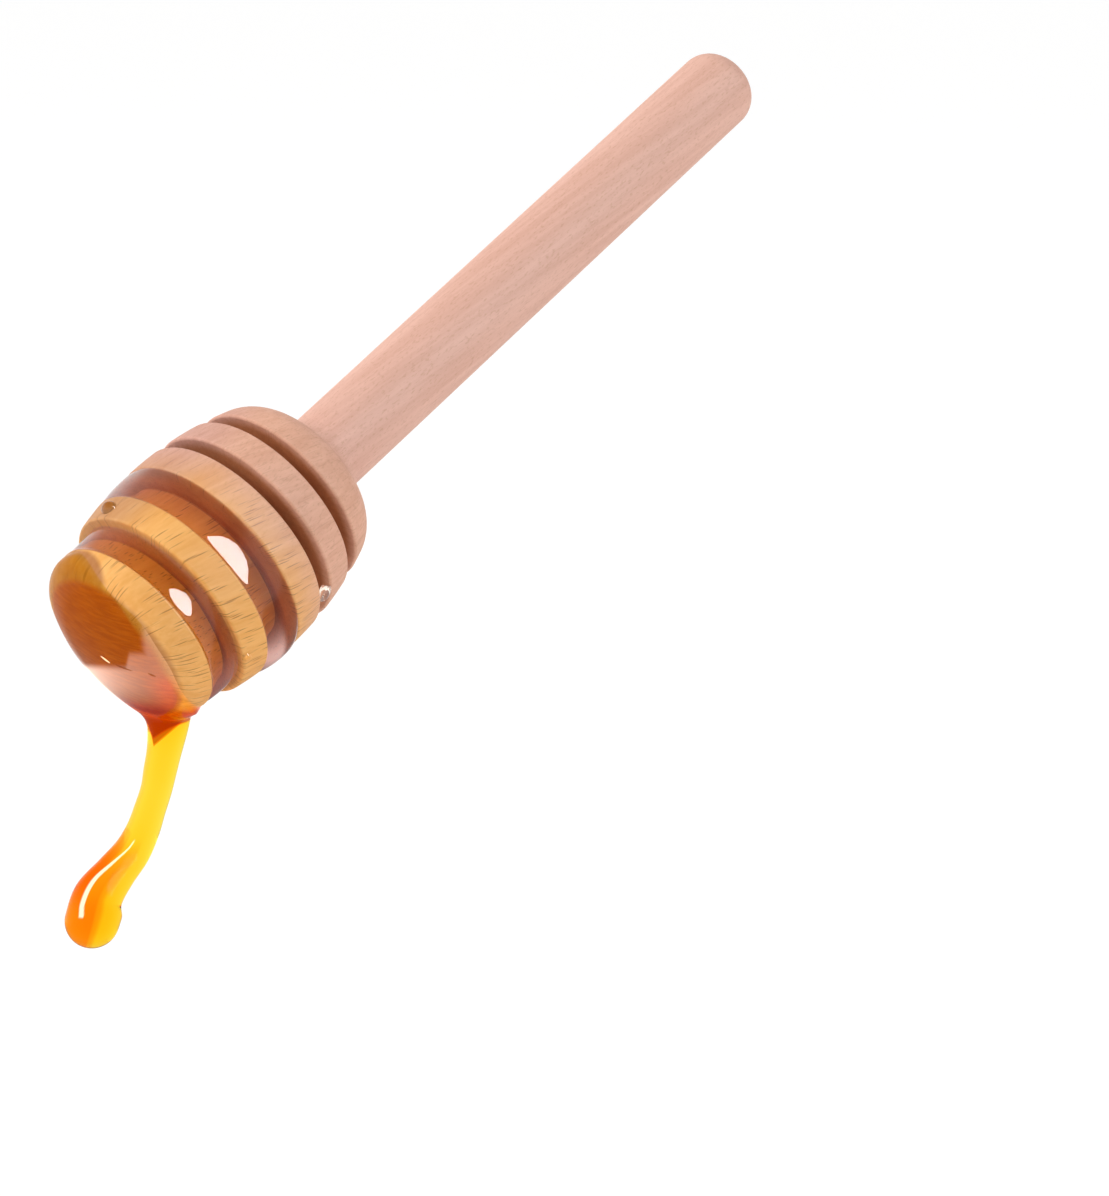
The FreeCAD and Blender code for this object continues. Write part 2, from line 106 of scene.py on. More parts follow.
@dataclass(frozen=True)
class HeadShape:
    """The turned outline of the head, with lengths in millimetres."""

    belly_radius: float = 9.2
    belly_depth: float = 13.8
    barrel_arc: float = 29.923
    core_radius: float = 5.0
    rim_arc: float = 2.2
    crown_arc: float = 18.0
    length: float = 26.0
    handle_radius: float = 3.45
    upper_groove: float = 14.15
    lower_groove: float = 19.80

    @property
    def rim_centre(self) -> tuple[float, float]:
        """The rim round's middle, where it touches both barrel and crown.

        Returns:
            Radius and depth.
        """
        first = np.array([self.belly_radius - self.barrel_arc, self.belly_depth])
        second = np.array([0.0, self.length - self.crown_arc])
        near, far = self.barrel_arc - self.rim_arc, self.crown_arc - self.rim_arc
        gap = float(np.linalg.norm(second - first))
        along = (near**2 - far**2 + gap**2) / (2 * gap)
        unit = (second - first) / gap
        rise = math.sqrt(near**2 - along**2)
        centre = first + unit * along + rise * np.array([-unit[1], unit[0]])
        return float(centre[0]), float(centre[1])

    def barrel(self, depth: np.ndarray) -> np.ndarray:
        """Radius of the barrel curve, an arc whose top is at the belly."""
        rise = np.sqrt(self.barrel_arc**2 - (depth - self.belly_depth) ** 2)
        return self.belly_radius - self.barrel_arc + rise

    def outside(self, radius: np.ndarray, depth: np.ndarray) -> tuple[np.ndarray, np.ndarray, np.ndarray]:
        """Distance outside the nose, and the direction away from it.

        The nose is three arcs that touch: the crown, the rim's round and the barrel. The distance is the
        one to the arc whose sector holds the point, seen from the arc's middle.

        Args:
            radius: Distances from the axis.
            depth: Depths below the handle joint.

        Returns:
            The distance, negative in the wood, and the direction's radius and depth parts.
        """
        rim_radius, rim_depth = self.rim_centre
        crown_depth = self.length - self.crown_arc
        barrel_radius = self.belly_radius - self.barrel_arc
        rim_reach, rim_drop = rim_radius - barrel_radius, rim_depth - self.belly_depth
        on_crown = radius * (rim_depth - crown_depth) < rim_radius * (depth - crown_depth)
        on_barrel = (depth - self.belly_depth) * rim_reach < rim_drop * (radius - barrel_radius)
        middle_radius = np.where(on_crown, 0.0, np.where(on_barrel, barrel_radius, rim_radius))
        middle_depth = np.where(on_crown, crown_depth, np.where(on_barrel, self.belly_depth, rim_depth))
        arc = np.where(on_crown, self.crown_arc, np.where(on_barrel, self.barrel_arc, self.rim_arc))
        reach = np.hypot(radius - middle_radius, depth - middle_depth)
        return reach - arc, (radius - middle_radius) / reach, (depth - middle_depth) / reach


AXIS = DipperAxis()
HEAD = HeadShape()


def smooth_step(value: np.ndarray) -> np.ndarray:
    """A rise from 0 to 1 that starts and ends level: three squares less two cubes."""
    value = np.clip(value, 0.0, 1.0)
    return value * value * (3.0 - 2.0 * value)


def ease(value: np.ndarray, start: float | np.ndarray, length: float) -> np.ndarray:
    """A smooth step from 0 to 1 while a value goes from a start over a length."""
    return smooth_step((value - start) / length)


def bell(turn: np.ndarray, middle: float, spread: float) -> np.ndarray:
    """A bell curve over a turn in radians, 1 at its middle, with middle and spread in degrees."""
    from_middle = np.degrees(np.angle(np.exp(1j * (turn - math.radians(middle)))))
    return np.exp(-((from_middle / spread) ** 2))


def full_turn(count: int) -> np.ndarray:
    """Even angles once around, in radians."""
    return np.linspace(0.0, 2 * math.pi, count, endpoint=False)


def smooth_path(knots: np.ndarray, count: int) -> np.ndarray:
    """A curve through rows of knots, with each stretch a cubic whose end slopes are neighbours' chords.

    Args:
        knots: One row for each knot.
        count: How many points to give.

    Returns:
        One row for each point, evenly spaced in knot number.
    """
    padded = np.vstack([2 * knots[0] - knots[1], knots, 2 * knots[-1] - knots[-2]])
    where = np.linspace(0.0, len(knots) - 1.0, count)
    index = np.minimum(where.astype(int), len(knots) - 2)
    step = (where - index)[:, None]
    before, start, end, after = (padded[index + shift] for shift in range(4))
    slope_in, slope_out = (end - before) / 2, (after - start) / 2
    cube = 2 * start - 2 * end + slope_in + slope_out
    square = -3 * start + 3 * end - 2 * slope_in - slope_out
    return ((cube * step + square) * step + slope_in) * step + start


class Closing(Enum):
    """How the rows of a grid end."""

    POLES = "poles"
    RING = "ring"


def grid_mesh(name: str, grid: np.ndarray, closing: Closing) -> bpy.types.Mesh:
    """A closed smooth mesh from a grid of points whose columns run around.

    Neighbouring rows and columns make four-sided faces. With poles, the first and the last row each
    hold one point, and fans of triangles close them. With a ring, the last row joins the first.

    Args:
        name: Name of the mesh.
        grid: Points in millimetres, as rows, columns and three coordinates.
        closing: How the rows end.

    Returns:
        The mesh, with its faces outward.
    """
    rows, columns = grid.shape[:2]
    number = np.arange(rows * columns).reshape(rows, columns)
    beside = np.roll(number, -1, axis=1)
    if closing is Closing.RING:
        below, below_beside = np.roll(number, -1, axis=0), np.roll(beside, -1, axis=0)
        quads = np.stack([number, beside, below_beside, below], axis=-1).reshape(-1, 4)
        fans = np.empty((0, 3), int)
        points = grid.reshape(-1, 3)
    else:
        body, body_beside = number[1:-1], beside[1:-1]
        quads = np.stack([body[:-1], body_beside[:-1], body_beside[1:], body[1:]], axis=-1).reshape(-1, 4)
        first = np.stack([np.full(columns, number[0, 0]), body_beside[0], body[0]], axis=-1)
        last = np.stack([np.full(columns, number[-1, 0]), body[-1], body_beside[-1]], axis=-1)
        fans = np.vstack([first, last])
        used = np.concatenate([number[0, :1], number[1:-1].ravel(), number[-1, :1]])
        renumber = np.zeros(rows * columns, int)
        renumber[used] = np.arange(len(used))
        quads, fans, points = renumber[quads], renumber[fans], grid.reshape(-1, 3)[used]
    triangles = np.vstack([quads[:, [0, 1, 2]], quads[:, [0, 2, 3]], fans])
    corners = points[triangles]
    volume = np.einsum("ij,ij->i", corners[:, 0], np.cross(corners[:, 1], corners[:, 2])).sum()
    if volume < 0:
        quads, fans = quads[:, ::-1], fans[:, ::-1]
    mesh = bpy.data.meshes.new(name)
    mesh.vertices.add(len(points))
    mesh.vertices.foreach_set("co", (points * MM).astype(np.float32).ravel())
    mesh.loops.add(quads.size + fans.size)
    mesh.loops.foreach_set("vertex_index", np.concatenate([quads.ravel(), fans.ravel()]).astype(np.int32))
    totals = np.concatenate([np.full(len(quads), 4), np.full(len(fans), 3)]).astype(np.int32)
    mesh.polygons.add(len(totals))
    mesh.polygons.foreach_set("loop_start", (np.cumsum(totals) - totals).astype(np.int32))
    mesh.polygons.foreach_set("loop_total", totals)
    mesh.polygons.foreach_set("use_smooth", np.ones(len(totals), bool))
    mesh.update(calc_edges=True)
    mesh.validate()
    return mesh


def add_attribute(mesh: bpy.types.Mesh, name: str, values: np.ndarray) -> None:
    """Gives each of the mesh's points a number under a name."""
    data = mesh.attributes.new(name, "FLOAT", "POINT").data
    data.foreach_set("value", values.astype(np.float32).ravel())


def add_piece(
    mesh: bpy.types.Mesh, material: bpy.types.Material, slot: str, *nodes: str
) -> bpy.types.Object:
    """Puts a finished mesh on the dipper.

    Args:
        mesh: The piece's mesh, in the row frame.
        material: Its finish.
        slot: The record's material slot; not used.
        nodes: The CAD nodes that it stands for.

    Returns:
        The piece.
    """
    piece = bpy.data.objects.new(mesh.name, mesh)
    bpy.context.scene.collection.objects.link(piece)
    mesh.materials.append(material)
    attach(piece, "root")
    if nodes:
        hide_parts(*nodes)
    LOG.info("%s: %d faces", piece.name, len(mesh.polygons))
    return piece


@dataclass(frozen=True)
class Signal:
    """A value, vector or colour in a shader tree. Arithmetic on it adds Math nodes."""

    bench: "NodeBench"
    socket: bpy.types.NodeSocket

    def __add__(self, other: "Feed") -> "Signal":
        """The sum."""
        return self.bench.math("ADD", self, other)

    def __sub__(self, other: "Feed") -> "Signal":
        """The difference."""
        return self.bench.math("SUBTRACT", self, other)

    def __rsub__(self, other: float) -> "Signal":
        """A number less this."""
        return self.bench.math("SUBTRACT", other, self)

    def __mul__(self, other: "Feed") -> "Signal":
        """The product."""
        return self.bench.math("MULTIPLY", self, other)

    def __rtruediv__(self, other: float) -> "Signal":
        """A number divided by this."""
        return self.bench.math("DIVIDE", other, self)

    __radd__ = __add__
    __rmul__ = __mul__


Feed = Signal | float | tuple


class NodeBench:
    """Adds and joins shader nodes in one tree."""

    def __init__(self, tree: bpy.types.NodeTree) -> None:
        """Starts on a tree, which keeps the nodes that it has."""
        self.tree = tree

    def feed(self, socket: bpy.types.NodeSocket, value: Feed) -> None:
        """Links a signal to an input, or sets the input's value.

        Args:
            socket: The input.
            value: The signal, or a plain value.
        """
        if isinstance(value, Signal):
            self.tree.links.new(value.socket, socket)
        else:
            socket.default_value = value

    def add(self, kind: str, **inputs: Feed) -> bpy.types.Node:
        """A new node, with its inputs set or linked.

        Args:
            kind: The node's type, without the Shader prefix.
            inputs: Values by socket name, with underscores for spaces.

        Returns:
            The node.
        """
        node = self.tree.nodes.new("ShaderNode" + kind)
        self.set(node, **inputs)
        return node

    def set(self, node: bpy.types.Node, **inputs: Feed) -> None:
        """Feeds a node's inputs by socket name, with underscores for spaces."""
        for name, value in inputs.items():
            self.feed(node.inputs[name.replace("_", " ")], value)

    def result(self, node: bpy.types.Node, output: int | str = 0) -> Signal:
        """One of a node's outputs, by number or name."""
        return Signal(self, node.outputs[output])

    def operate(self, kind: str, operation: str, *values: Feed) -> bpy.types.Node:
        """A Math or VectorMath node, with its inputs fed in order.

        Args:
            kind: The node's type, without the Shader prefix.
            operation: Blender's name of the operation.
            values: What to feed.

        Returns:
            The node.
        """
        node = self.add(kind)
        node.operation = operation
        for socket, value in zip(node.inputs, values):
            self.feed(socket, value)
        return node

    def math(self, operation: str, *values: Feed, clamp: bool = False) -> Signal:
        """The result of a Math node.

        Args:
            operation: Blender's name of the operation.
            values: What to feed.
            clamp: Whether the result stays between 0 and 1.

        Returns:
            The result.
        """
        node = self.operate("Math", operation, *values)
        node.use_clamp = clamp
        return self.result(node)

    def vector(self, operation: str, *values: Feed) -> Signal:
        """The vector that a Vector Math node gives."""
        return self.result(self.operate("VectorMath", operation, *values), "Vector")

    def measure(self, operation: str, *values: Feed) -> Signal:
        """The number that a Vector Math node gives."""
        return self.result(self.operate("VectorMath", operation, *values), "Value")

    def mix(self, share: Feed, first: Feed, second: Feed, blend: str = "MIX") -> Signal:
        """Two colours mixed.

        Args:
            share: How much of the second colour.
            first: First colour.
            second: Second colour.
            blend: Blender's name of the mixing mode.

        Returns:
            The colour.
        """
        node = self.add("Mix")
        node.data_type = "RGBA"
        node.blend_type = blend
        for number, value in ((0, share), (6, first), (7, second)):
            self.feed(node.inputs[number], value)
        return self.result(node, 2)

    def ramp(self, value: Feed, low: float, high: float) -> Signal:
        """A smooth rise from 0 to 1.

        Args:
            value: The value that leads it.
            low: Where it starts.
            high: Where it ends.

        Returns:
            The share.
        """
        node = self.add("MapRange", Value=value, From_Min=low, From_Max=high)
        node.interpolation_type = "SMOOTHSTEP"
        return self.result(node)

    def scaled(self, vector: Feed, scale: Feed) -> Signal:
        """A vector with each coordinate times its own number."""
        return self.vector("MULTIPLY", vector, scale)

    def noise(self, vector: Feed, scale: Triple, detail: float = 2.0, roughness: float = 0.5) -> Signal:
        """The value of a Noise Texture on a scaled vector."""
        at = self.scaled(vector, scale)
        return self.result(self.add("TexNoise", Vector=at, Scale=1.0, Detail=detail, Roughness=roughness))

    def attribute(self, name: str) -> Signal:
        """A number that the mesh keeps for each of its points, 0 where it has none.

        Args:
            name: Name of the mesh's attribute.

        Returns:
            The number.
        """
        node = self.add("Attribute")
        node.attribute_name = name
        return self.result(node, "Fac")

    def coordinates(self, kind: str = "Object") -> Signal:
        """A vector of the Texture Coordinate node."""
        return self.result(self.add("TexCoord"), kind)


class Socket(Enum):
    """Kinds of input on a node group."""

    VALUE = "NodeSocketFloat"
    VECTOR = "NodeSocketVector"


def fill_group(name: str, inputs: dict[str, Socket], figure: Callable[..., dict[str, Signal]]) -> None:
    """A new shader node group with named sockets, of which the outputs are values.

    Args:
        name: Name of the group.
        inputs: Kinds of its inputs by name.
        figure: Given a bench and the inputs, adds the nodes and gives the outputs by name.
    """
    tree = bpy.data.node_groups.new(name, "ShaderNodeTree")
    for socket, kind in inputs.items():
        tree.interface.new_socket(socket, in_out="INPUT", socket_type=kind.value)
    entry = tree.nodes.new("NodeGroupInput")
    bench = NodeBench(tree)
    results = figure(bench, *(bench.result(entry, socket) for socket in inputs))
    for socket in results:
        tree.interface.new_socket(socket, in_out="OUTPUT", socket_type=Socket.VALUE.value)
    leave = tree.nodes.new("NodeGroupOutput")
    for socket, value in results.items():
        bench.feed(leave.inputs[socket], value)


def place_group(bench: NodeBench, group: str, **inputs: Feed) -> dict[str, Signal]:
    """A node group placed in a material, with its inputs fed.

    Args:
        bench: Bench on the material's tree.
        group: Name of the group.
        inputs: Values by socket name, with underscores for spaces.

    Returns:
        The group's outputs by name.
    """
    node = bench.add("Group")
    node.node_tree = bpy.data.node_groups[group]
    bench.set(node, **inputs)
    return {socket.name: Signal(bench, socket) for socket in node.outputs}


def new_material(name: str) -> tuple[bpy.types.Material, NodeBench, bpy.types.Node]:
    """A new material.

    Args:
        name: Name of the material.

    Returns:
        The material, a bench on its tree and its Principled shader.
    """
    material = bpy.data.materials.new(name)
    material.use_nodes = True
    return material, NodeBench(material.node_tree), material.node_tree.nodes["Principled BSDF"]


@dataclass(frozen=True)
class BeechFigure:
    """The figure of beech on a vector in millimetres whose Z runs along the grain.

    Scales are counts for each millimetre across, across and along.
    """

    name: str = "beech_figure"
    winding: float = -0.034
    fine: Triple = (1.9, 1.9, 0.11)
    broad: Triple = (0.33, 0.33, 0.025)
    bend: Triple = (0.8, 0.8, 0.5)
    bend_size: float = 0.14
    dashes: Triple = (6.0, 6.0, 0.36)
    pores: Triple = (7.0, 7.0, 2.2)

    def build(self) -> None:
        """Adds the node group."""
        inputs = {"Vector": Socket.VECTOR, "Girth": Socket.VALUE, "Fleck Share": Socket.VALUE}
        fill_group(self.name, inputs, self.figure)

    def figure(self, bench: NodeBench, vector: Signal, girth: Signal, share: Signal) -> dict[str, Signal]:
        """The figure's parts.

        The grain winds slowly around Z. Streak is two noises drawn out along it. Fleck is fine dark
        dashes: thin cells drawn out along the grain, of which a share holds a dash around its middle.
        They are laid out on the place across, divided by the girth, so that they follow the barrel.
        Pore is fine speckle. Height is the relief.

        Args:
            bench: Bench on the group's tree.
            vector: Place in millimetres.
            girth: Distance from the axis that the flecks are laid out on.
            share: Share of the cells that hold a dash.

        Returns:
            The parts by name.
        """
        along = bench.result(bench.add("SeparateXYZ", Vector=vector), "Z")
        winding = bench.add("VectorRotate", Vector=vector, Angle=along * self.winding)
        winding.rotation_type = "Z_AXIS"
        wound = bench.result(winding)
        fine = bench.noise(wound, self.fine, detail=3.0, roughness=0.6)
        streak = 0.6 * fine + 0.4 * bench.noise(wound, self.broad)
        wander = bench.add("TexNoise", Vector=bench.scaled(vector, self.bend), Scale=1.0, Detail=1.0)
        even = HEAD.belly_radius / girth
        unrolled = bench.scaled(wound, bench.result(bench.add("CombineXYZ", X=even, Y=even, Z=1.0)))
        size = (self.bend_size,) * 3
        bent = bench.vector("MULTIPLY_ADD", bench.result(wander, "Color"), size, unrolled)
        cells = bench.add("TexVoronoi", Vector=bench.scaled(bent, self.dashes), Scale=1.0)
        chance = bench.result(bench.add("SeparateColor", Color=bench.result(cells, "Color")))
        dash = 1.0 - bench.ramp(bench.result(cells, "Distance"), 0.15, 0.38)
        fleck = dash * bench.math("LESS_THAN", chance, share)
        pore = bench.ramp(bench.noise(vector, self.pores), 0.52, 0.72)
        relief = streak - 0.5 * pore - 0.4 * fleck
        return {"Streak": streak, "Fleck": fleck, "Pore": pore, "Height": relief}


@dataclass(frozen=True)
class HoneyWetting:
    """Where the wood is soaked and where it is cut, on a vector in millimetres whose Z is minus the depth."""

    name: str = "honey_wetting"
    wall_half: float = 0.12
    coat_top: Triple = (-0.122, 0.044, 0.0)
    coat_lap: float = 2.05
    coat_edge: tuple[float, float] = (24.6, 25.0)
    lower_groove_edge: tuple[float, float] = (19.6, 20.2)
    most_inset: float = 1.2

    def build(self) -> None:
        """Adds the node group."""
        inputs = {"Vector": Socket.VECTOR, "Start": Socket.VALUE, "Spread": Socket.VALUE}
        fill_group(self.name, inputs, self.wetting)

    def wetting(self, bench: NodeBench, vector: Signal, start: Signal, spread: Signal) -> dict[str, Signal]:
        """The shares of wet and cut wood, and of painted shade and haze.

        Wet rises with the depth from the lower dry groove on, sooner on the underside and with a
        wandering edge. Girth is the distance from the axis, but not much less than the barrel curve, about
        a parabola around the belly, or than the handle's radius. Inset is how far the wood is inside the
        barrel curve. Coat is the wood under the nose's honey, which reaches further up on top. The top
        haze is painted haze and shade on top of the rings above the lower groove. The wall shade is
        painted shade on the end grain that faces the nose in the wide grooves, darkest in the corner. The
        floor shade is painted shade on the soaked floor of the upper one where it turns to the underside.

        Args:
            bench: Bench on the group's tree.
            vector: Place in millimetres.
            start: Depth where the wood begins to be wet.
            spread: Depth over which it gets wet.

        Returns:
            The shares by name.
        """
        parts = bench.add("SeparateXYZ", Vector=vector)
        low, side, along = (bench.result(parts, name) for name in "XYZ")
        depth = along * -1.0
        wander = 2.0 * (bench.noise(vector, (0.4, 0.4, 0.4)) - 0.5)
        front = depth + 0.08 * low + wander
        wet = bench.math("DIVIDE", front - start, spread, clamp=True)
        gap = depth - HEAD.belly_depth
        barrel = HEAD.belly_radius - 0.5 / HEAD.barrel_arc * (gap * gap)
        across = bench.measure("LENGTH", bench.scaled(vector, (1.0, 1.0, 0.0)))
        least = bench.math("MAXIMUM", barrel - self.most_inset, HEAD.handle_radius)
        inset = barrel - across
        toward_top = bench.measure("DOT_PRODUCT", vector, self.coat_top)
        lap = self.coat_lap * bench.ramp(toward_top, 0.57, 1.03)
        above = 1.0 - bench.ramp(depth, *self.lower_groove_edge)
        # Painted haze and shade on top of the rings above the lower groove, stronger where wet.
        film = bench.ramp(toward_top, 0.80, 1.12) * above
        # Painted shade on the wide grooves' walls, darkest in the corner and toward the lower right.
        upper = bench.math("COMPARE", depth, HEAD.upper_groove, self.wall_half)
        lower = bench.math("COMPARE", depth, HEAD.lower_groove, self.wall_half)
        low_in_groove = 0.55 * bench.ramp(inset, 0.2, 0.5) + bench.ramp(inset, 2.6, 4.2)
        wall = bench.math("MULTIPLY", upper + lower, low_in_groove, clamp=True)
        shaded = 0.42 * low - 0.9 * side
        # Painted shade on the upper groove's floor, toward the lower right where it turns under.
        floor_shade_mask = bench.ramp(inset, 3.2, 3.9) * bench.ramp(shaded, 3.0, 4.9)
        return {
            "Wet": wet,
            "Depth": depth,
            "Girth": bench.math("MAXIMUM", across, least),
            "Inset": inset * bench.ramp(depth, 4.6, 5.6),
            "Coat": bench.ramp(depth + lap, *self.coat_edge),
            "Painted_Top_Haze": film * (0.65 * wet + 0.35),
            "Painted_Wall_Shade": wall * (0.75 * bench.ramp(shaded, -7.0, 7.0) + 0.25),
            "Painted_Floor_Shade": floor_shade_mask * (wet * above),
        }


@dataclass(frozen=True)
class BeechFinish:
    """Sanded beech, dry on the handle and soaked with honey toward the nose."""

    name: str
    fleck_share: float
    neck_light: Colour = (0.812, 0.497, 0.403, 1.0)
    neck_dark: Colour = (0.715, 0.411, 0.320, 1.0)
    dry_light: Colour = (0.800, 0.455, 0.325, 1.0)
    dry_dark: Colour = (0.700, 0.370, 0.250, 1.0)
    wet_light: Colour = (0.850, 0.455, 0.150, 1.0)
    wet_dark: Colour = (0.740, 0.345, 0.088, 1.0)
    fleck_dry: Colour = (0.520, 0.270, 0.170, 1.0)
    fleck_wet: Colour = (0.300, 0.105, 0.022, 1.0)
    # Cut wood in the dry grooves, partly painted shade that darkens the recess.
    cut_wood_and_groove_shade: Colour = (0.740, 0.560, 0.360, 1.0)
    # Painted shade with a mauve reflection, on the end grain walls of the wide grooves.
    painted_wall_shade: Colour = (0.560, 0.420, 0.520, 1.0)
    # Painted shade on the upper groove's soaked floor where it turns to the underside.
    painted_floor_shade: Colour = (0.740, 0.690, 0.400, 1.0)
    # Painted haze and shade that dulls the top of the rings toward mauve.
    painted_top_haze: Colour = (0.680, 0.670, 0.980, 1.0)
    under_coat: Colour = (0.560, 0.470, 0.550, 1.0)
    end_grain: Colour = (0.480, 0.108, 0.006, 1.0)
    end_line: Colour = (0.390, 0.073, 0.004, 1.0)
    fleck_side: Triple = (0.42, -0.90, 0.0)
    bare_side: Triple = (-0.17, -0.98, 0.0)
    end_turn: float = -12.0
    wet_start: float = 10.2
    wet_spread: float = 5.5
    roughness: float = 0.60

    def build(self) -> bpy.types.Material:
        """The material. Object coordinates turn so that Z runs along the grain and counts from the joint.

        Returns:
            The material.
        """
        material, bench, shader = new_material(self.name)
        turned = bench.add(
            "Mapping",
            Vector=bench.coordinates(),
            Location=(0.0, 0.0, AXIS.joint),
            Rotation=(0.0, math.radians(AXIS.lean - 90.0), 0.0),
            Scale=(1.0 / MM,) * 3,
        )
        place = bench.result(turned)
        toward_flecks = bench.measure("DOT_PRODUCT", place, self.fleck_side)
        share = self.fleck_share * (0.5 + 0.5 * bench.ramp(toward_flecks, 0.0, 9.5))
        start, spread = self.wet_start, self.wet_spread
        soak = place_group(bench, HoneyWetting.name, Vector=place, Start=start, Spread=spread)
        figure = place_group(bench, BeechFigure.name, Vector=place, Girth=soak["Girth"], Fleck_Share=share)
        wet = soak["Wet"]
        tone = bench.ramp(figure["Streak"], 0.32, 0.68)
        past_neck = bench.ramp(soak["Depth"], 0.0, 5.0)
        light = bench.mix(past_neck, self.neck_light, self.dry_light)
        dry = bench.mix(tone, bench.mix(past_neck, self.neck_dark, self.dry_dark), light)
        dry = bench.mix(0.35 * figure["Pore"], dry, self.fleck_dry)
        dry = bench.mix(0.30 * figure["Fleck"], dry, self.fleck_dry)
        soaked = bench.mix(tone, self.wet_dark, self.wet_light)
        soaked = bench.mix(0.70 * figure["Fleck"], soaked, self.fleck_wet)
        side = bench.mix(wet, dry, soaked)
        # Masks that darken the wood; all but the coat's are painted shade or haze, the first partly cut wood.
        stains_and_painted_shades = (
            (bench.ramp(soak["Inset"], 0.25, 1.2) * (1.0 - wet), self.cut_wood_and_groove_shade),
            (soak["Painted_Wall_Shade"], self.painted_wall_shade),
            (soak["Painted_Floor_Shade"], self.painted_floor_shade),
            (soak["Coat"], self.under_coat),
            (soak["Painted_Top_Haze"], self.painted_top_haze),
        )
        for stain_and_shade, colour in stains_and_painted_shades:
            side = bench.mix(stain_and_shade, side, colour, "MULTIPLY")
        rolled = bench.add("Mapping", Vector=place, Rotation=(0.0, 0.0, math.radians(self.end_turn)))
        lines = bench.noise(bench.result(rolled), (3.8, 0.55, 0.2), detail=3.0, roughness=0.6)
        grain = bench.mix(bench.ramp(lines, 0.36, 0.66), self.end_line, self.end_grain)
        bare = 0.32 * bench.ramp(bench.measure("DOT_PRODUCT", place, self.bare_side), 4.0, 5.2)
        nose = bench.ramp(soak["Depth"] - bare, 24.62, 24.95)
        bump = bench.add("Bump", Height=figure["Height"], Strength=0.25, Distance=0.00006)
        bench.set(
            shader,
            Base_Color=bench.mix(nose, side, grain),
            Roughness=self.roughness + 0.12 * figure["Pore"] - 0.15 * wet,
            Coat_Weight=0.05 * wet,
            Coat_Roughness=0.32,
            Specular_IOR_Level=0.22,
            Normal=bench.result(bump),
        )
        return material


@dataclass(frozen=True)
class GlueFinish:
    """Set wood glue, a pale amber film."""

    name: str = "set_glue"
    pale: Colour = (0.720, 0.560, 0.330, 1.0)
    deep: Colour = (0.480, 0.310, 0.130, 1.0)
    cloud: float = 900.0

    def build(self) -> bpy.types.Material:
        """The material: two ambers mixed by a fine cloud.

        Returns:
            The material.
        """
        material, bench, shader = new_material(self.name)
        cloud = bench.noise(bench.coordinates(), (self.cloud,) * 3, detail=3.0)
        bench.set(shader, Base_Color=bench.mix(cloud, self.deep, self.pale), Roughness=0.2 + 0.2 * cloud)
        return material


@dataclass(frozen=True)
class HoneyFinish:
    """Clear honey that takes more of the blue and green from light the deeper it is."""

    name: str
    absorbed: Colour
    density: float
    index: float = 1.49
    gloss: float = 1.0
    tint: Colour = (1.0, 0.97, 0.86, 1.0)
    middle_tint: Colour = (1.0, 0.20, 0.008, 1.0)
    deep_tint: Colour = (0.47, 0.055, 0.002, 1.0)
    gleam: Colour = (1.0, 0.85, 0.74, 1.0)
    glow: Colour = (0.16, 0.0, 0.0, 1.0)
    cloud: float = 260.0

    def build(self) -> bpy.types.Material:
        """The material: clear Principled glass around an even absorption.

        The mesh's attribute deep leads from the tint over the middle tint to the deep one; where it is
        deeper on one side of the stream's bend and bulb, that is painted shade. Its attribute gleam
        is a painted highlight that lies on the surface, its attribute veil a faint painted
        reflection that is paler at the edge, and its attribute glow a painted red light that stands
        for the light scattered where the honey is thick.

        Returns:
            The material.
        """
        material, bench, shader = new_material(self.name)
        deep = bench.attribute("deep")
        tint = bench.mix(bench.ramp(deep, 0.0, 0.5), self.tint, self.middle_tint)
        tint = bench.mix(bench.ramp(deep, 0.5, 1.0), tint, self.deep_tint)
        # Painted light: emission paints highlights, a pale reflection that is paler at the edge, and a red
        # light in thick honey.
        facing = bench.result(bench.add("LayerWeight", Blend=0.5), "Facing")
        pale = 0.65 * bench.ramp(facing, 0.40, 0.95) + 0.16
        light = bench.math("MAXIMUM", bench.attribute("gleam"), bench.attribute("veil") * pale)
        light = bench.mix(light, BLACK, self.gleam)
        light = bench.mix(bench.attribute("glow"), light, self.glow, "ADD")
        bench.set(
            shader,
            Base_Color=tint,
            Roughness=0.03 * bench.noise(bench.coordinates(), (self.cloud,) * 3),
            IOR=self.index,
            Transmission_Weight=1.0,
            Specular_Tint=(self.gloss, self.gloss, self.gloss, 1.0),
            Emission_Color=light,
            Emission_Strength=1.0,
        )
        inside = bench.add("VolumeAbsorption", Color=self.absorbed, Density=self.density)
        output = material.node_tree.nodes["Material Output"]
        bench.feed(output.inputs["Volume"], bench.result(inside))
        return material


@dataclass
class Wood:
    """The two turned pieces and the glue between them, which keep their CAD shape."""

    handle: BeechFinish = BeechFinish("beech_handle_sanded", fleck_share=0.30)
    head: BeechFinish = BeechFinish(
        "beech_head_turned",
        fleck_share=1.0,
        wet_light=(0.910, 0.478, 0.150, 1.0),
        wet_dark=(0.820, 0.378, 0.092, 1.0),
    )
    glue: GlueFinish = GlueFinish()

    def dress(self) -> None:
        """Puts each finish on its node."""
        for node, finish in (("handle", self.handle), ("dipper_head", self.head), ("joint_glue", self.glue)):
            material = finish.build()
            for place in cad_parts[node].material_slots:
                place.material = material
            LOG.info("%s: %s", node, material.name)


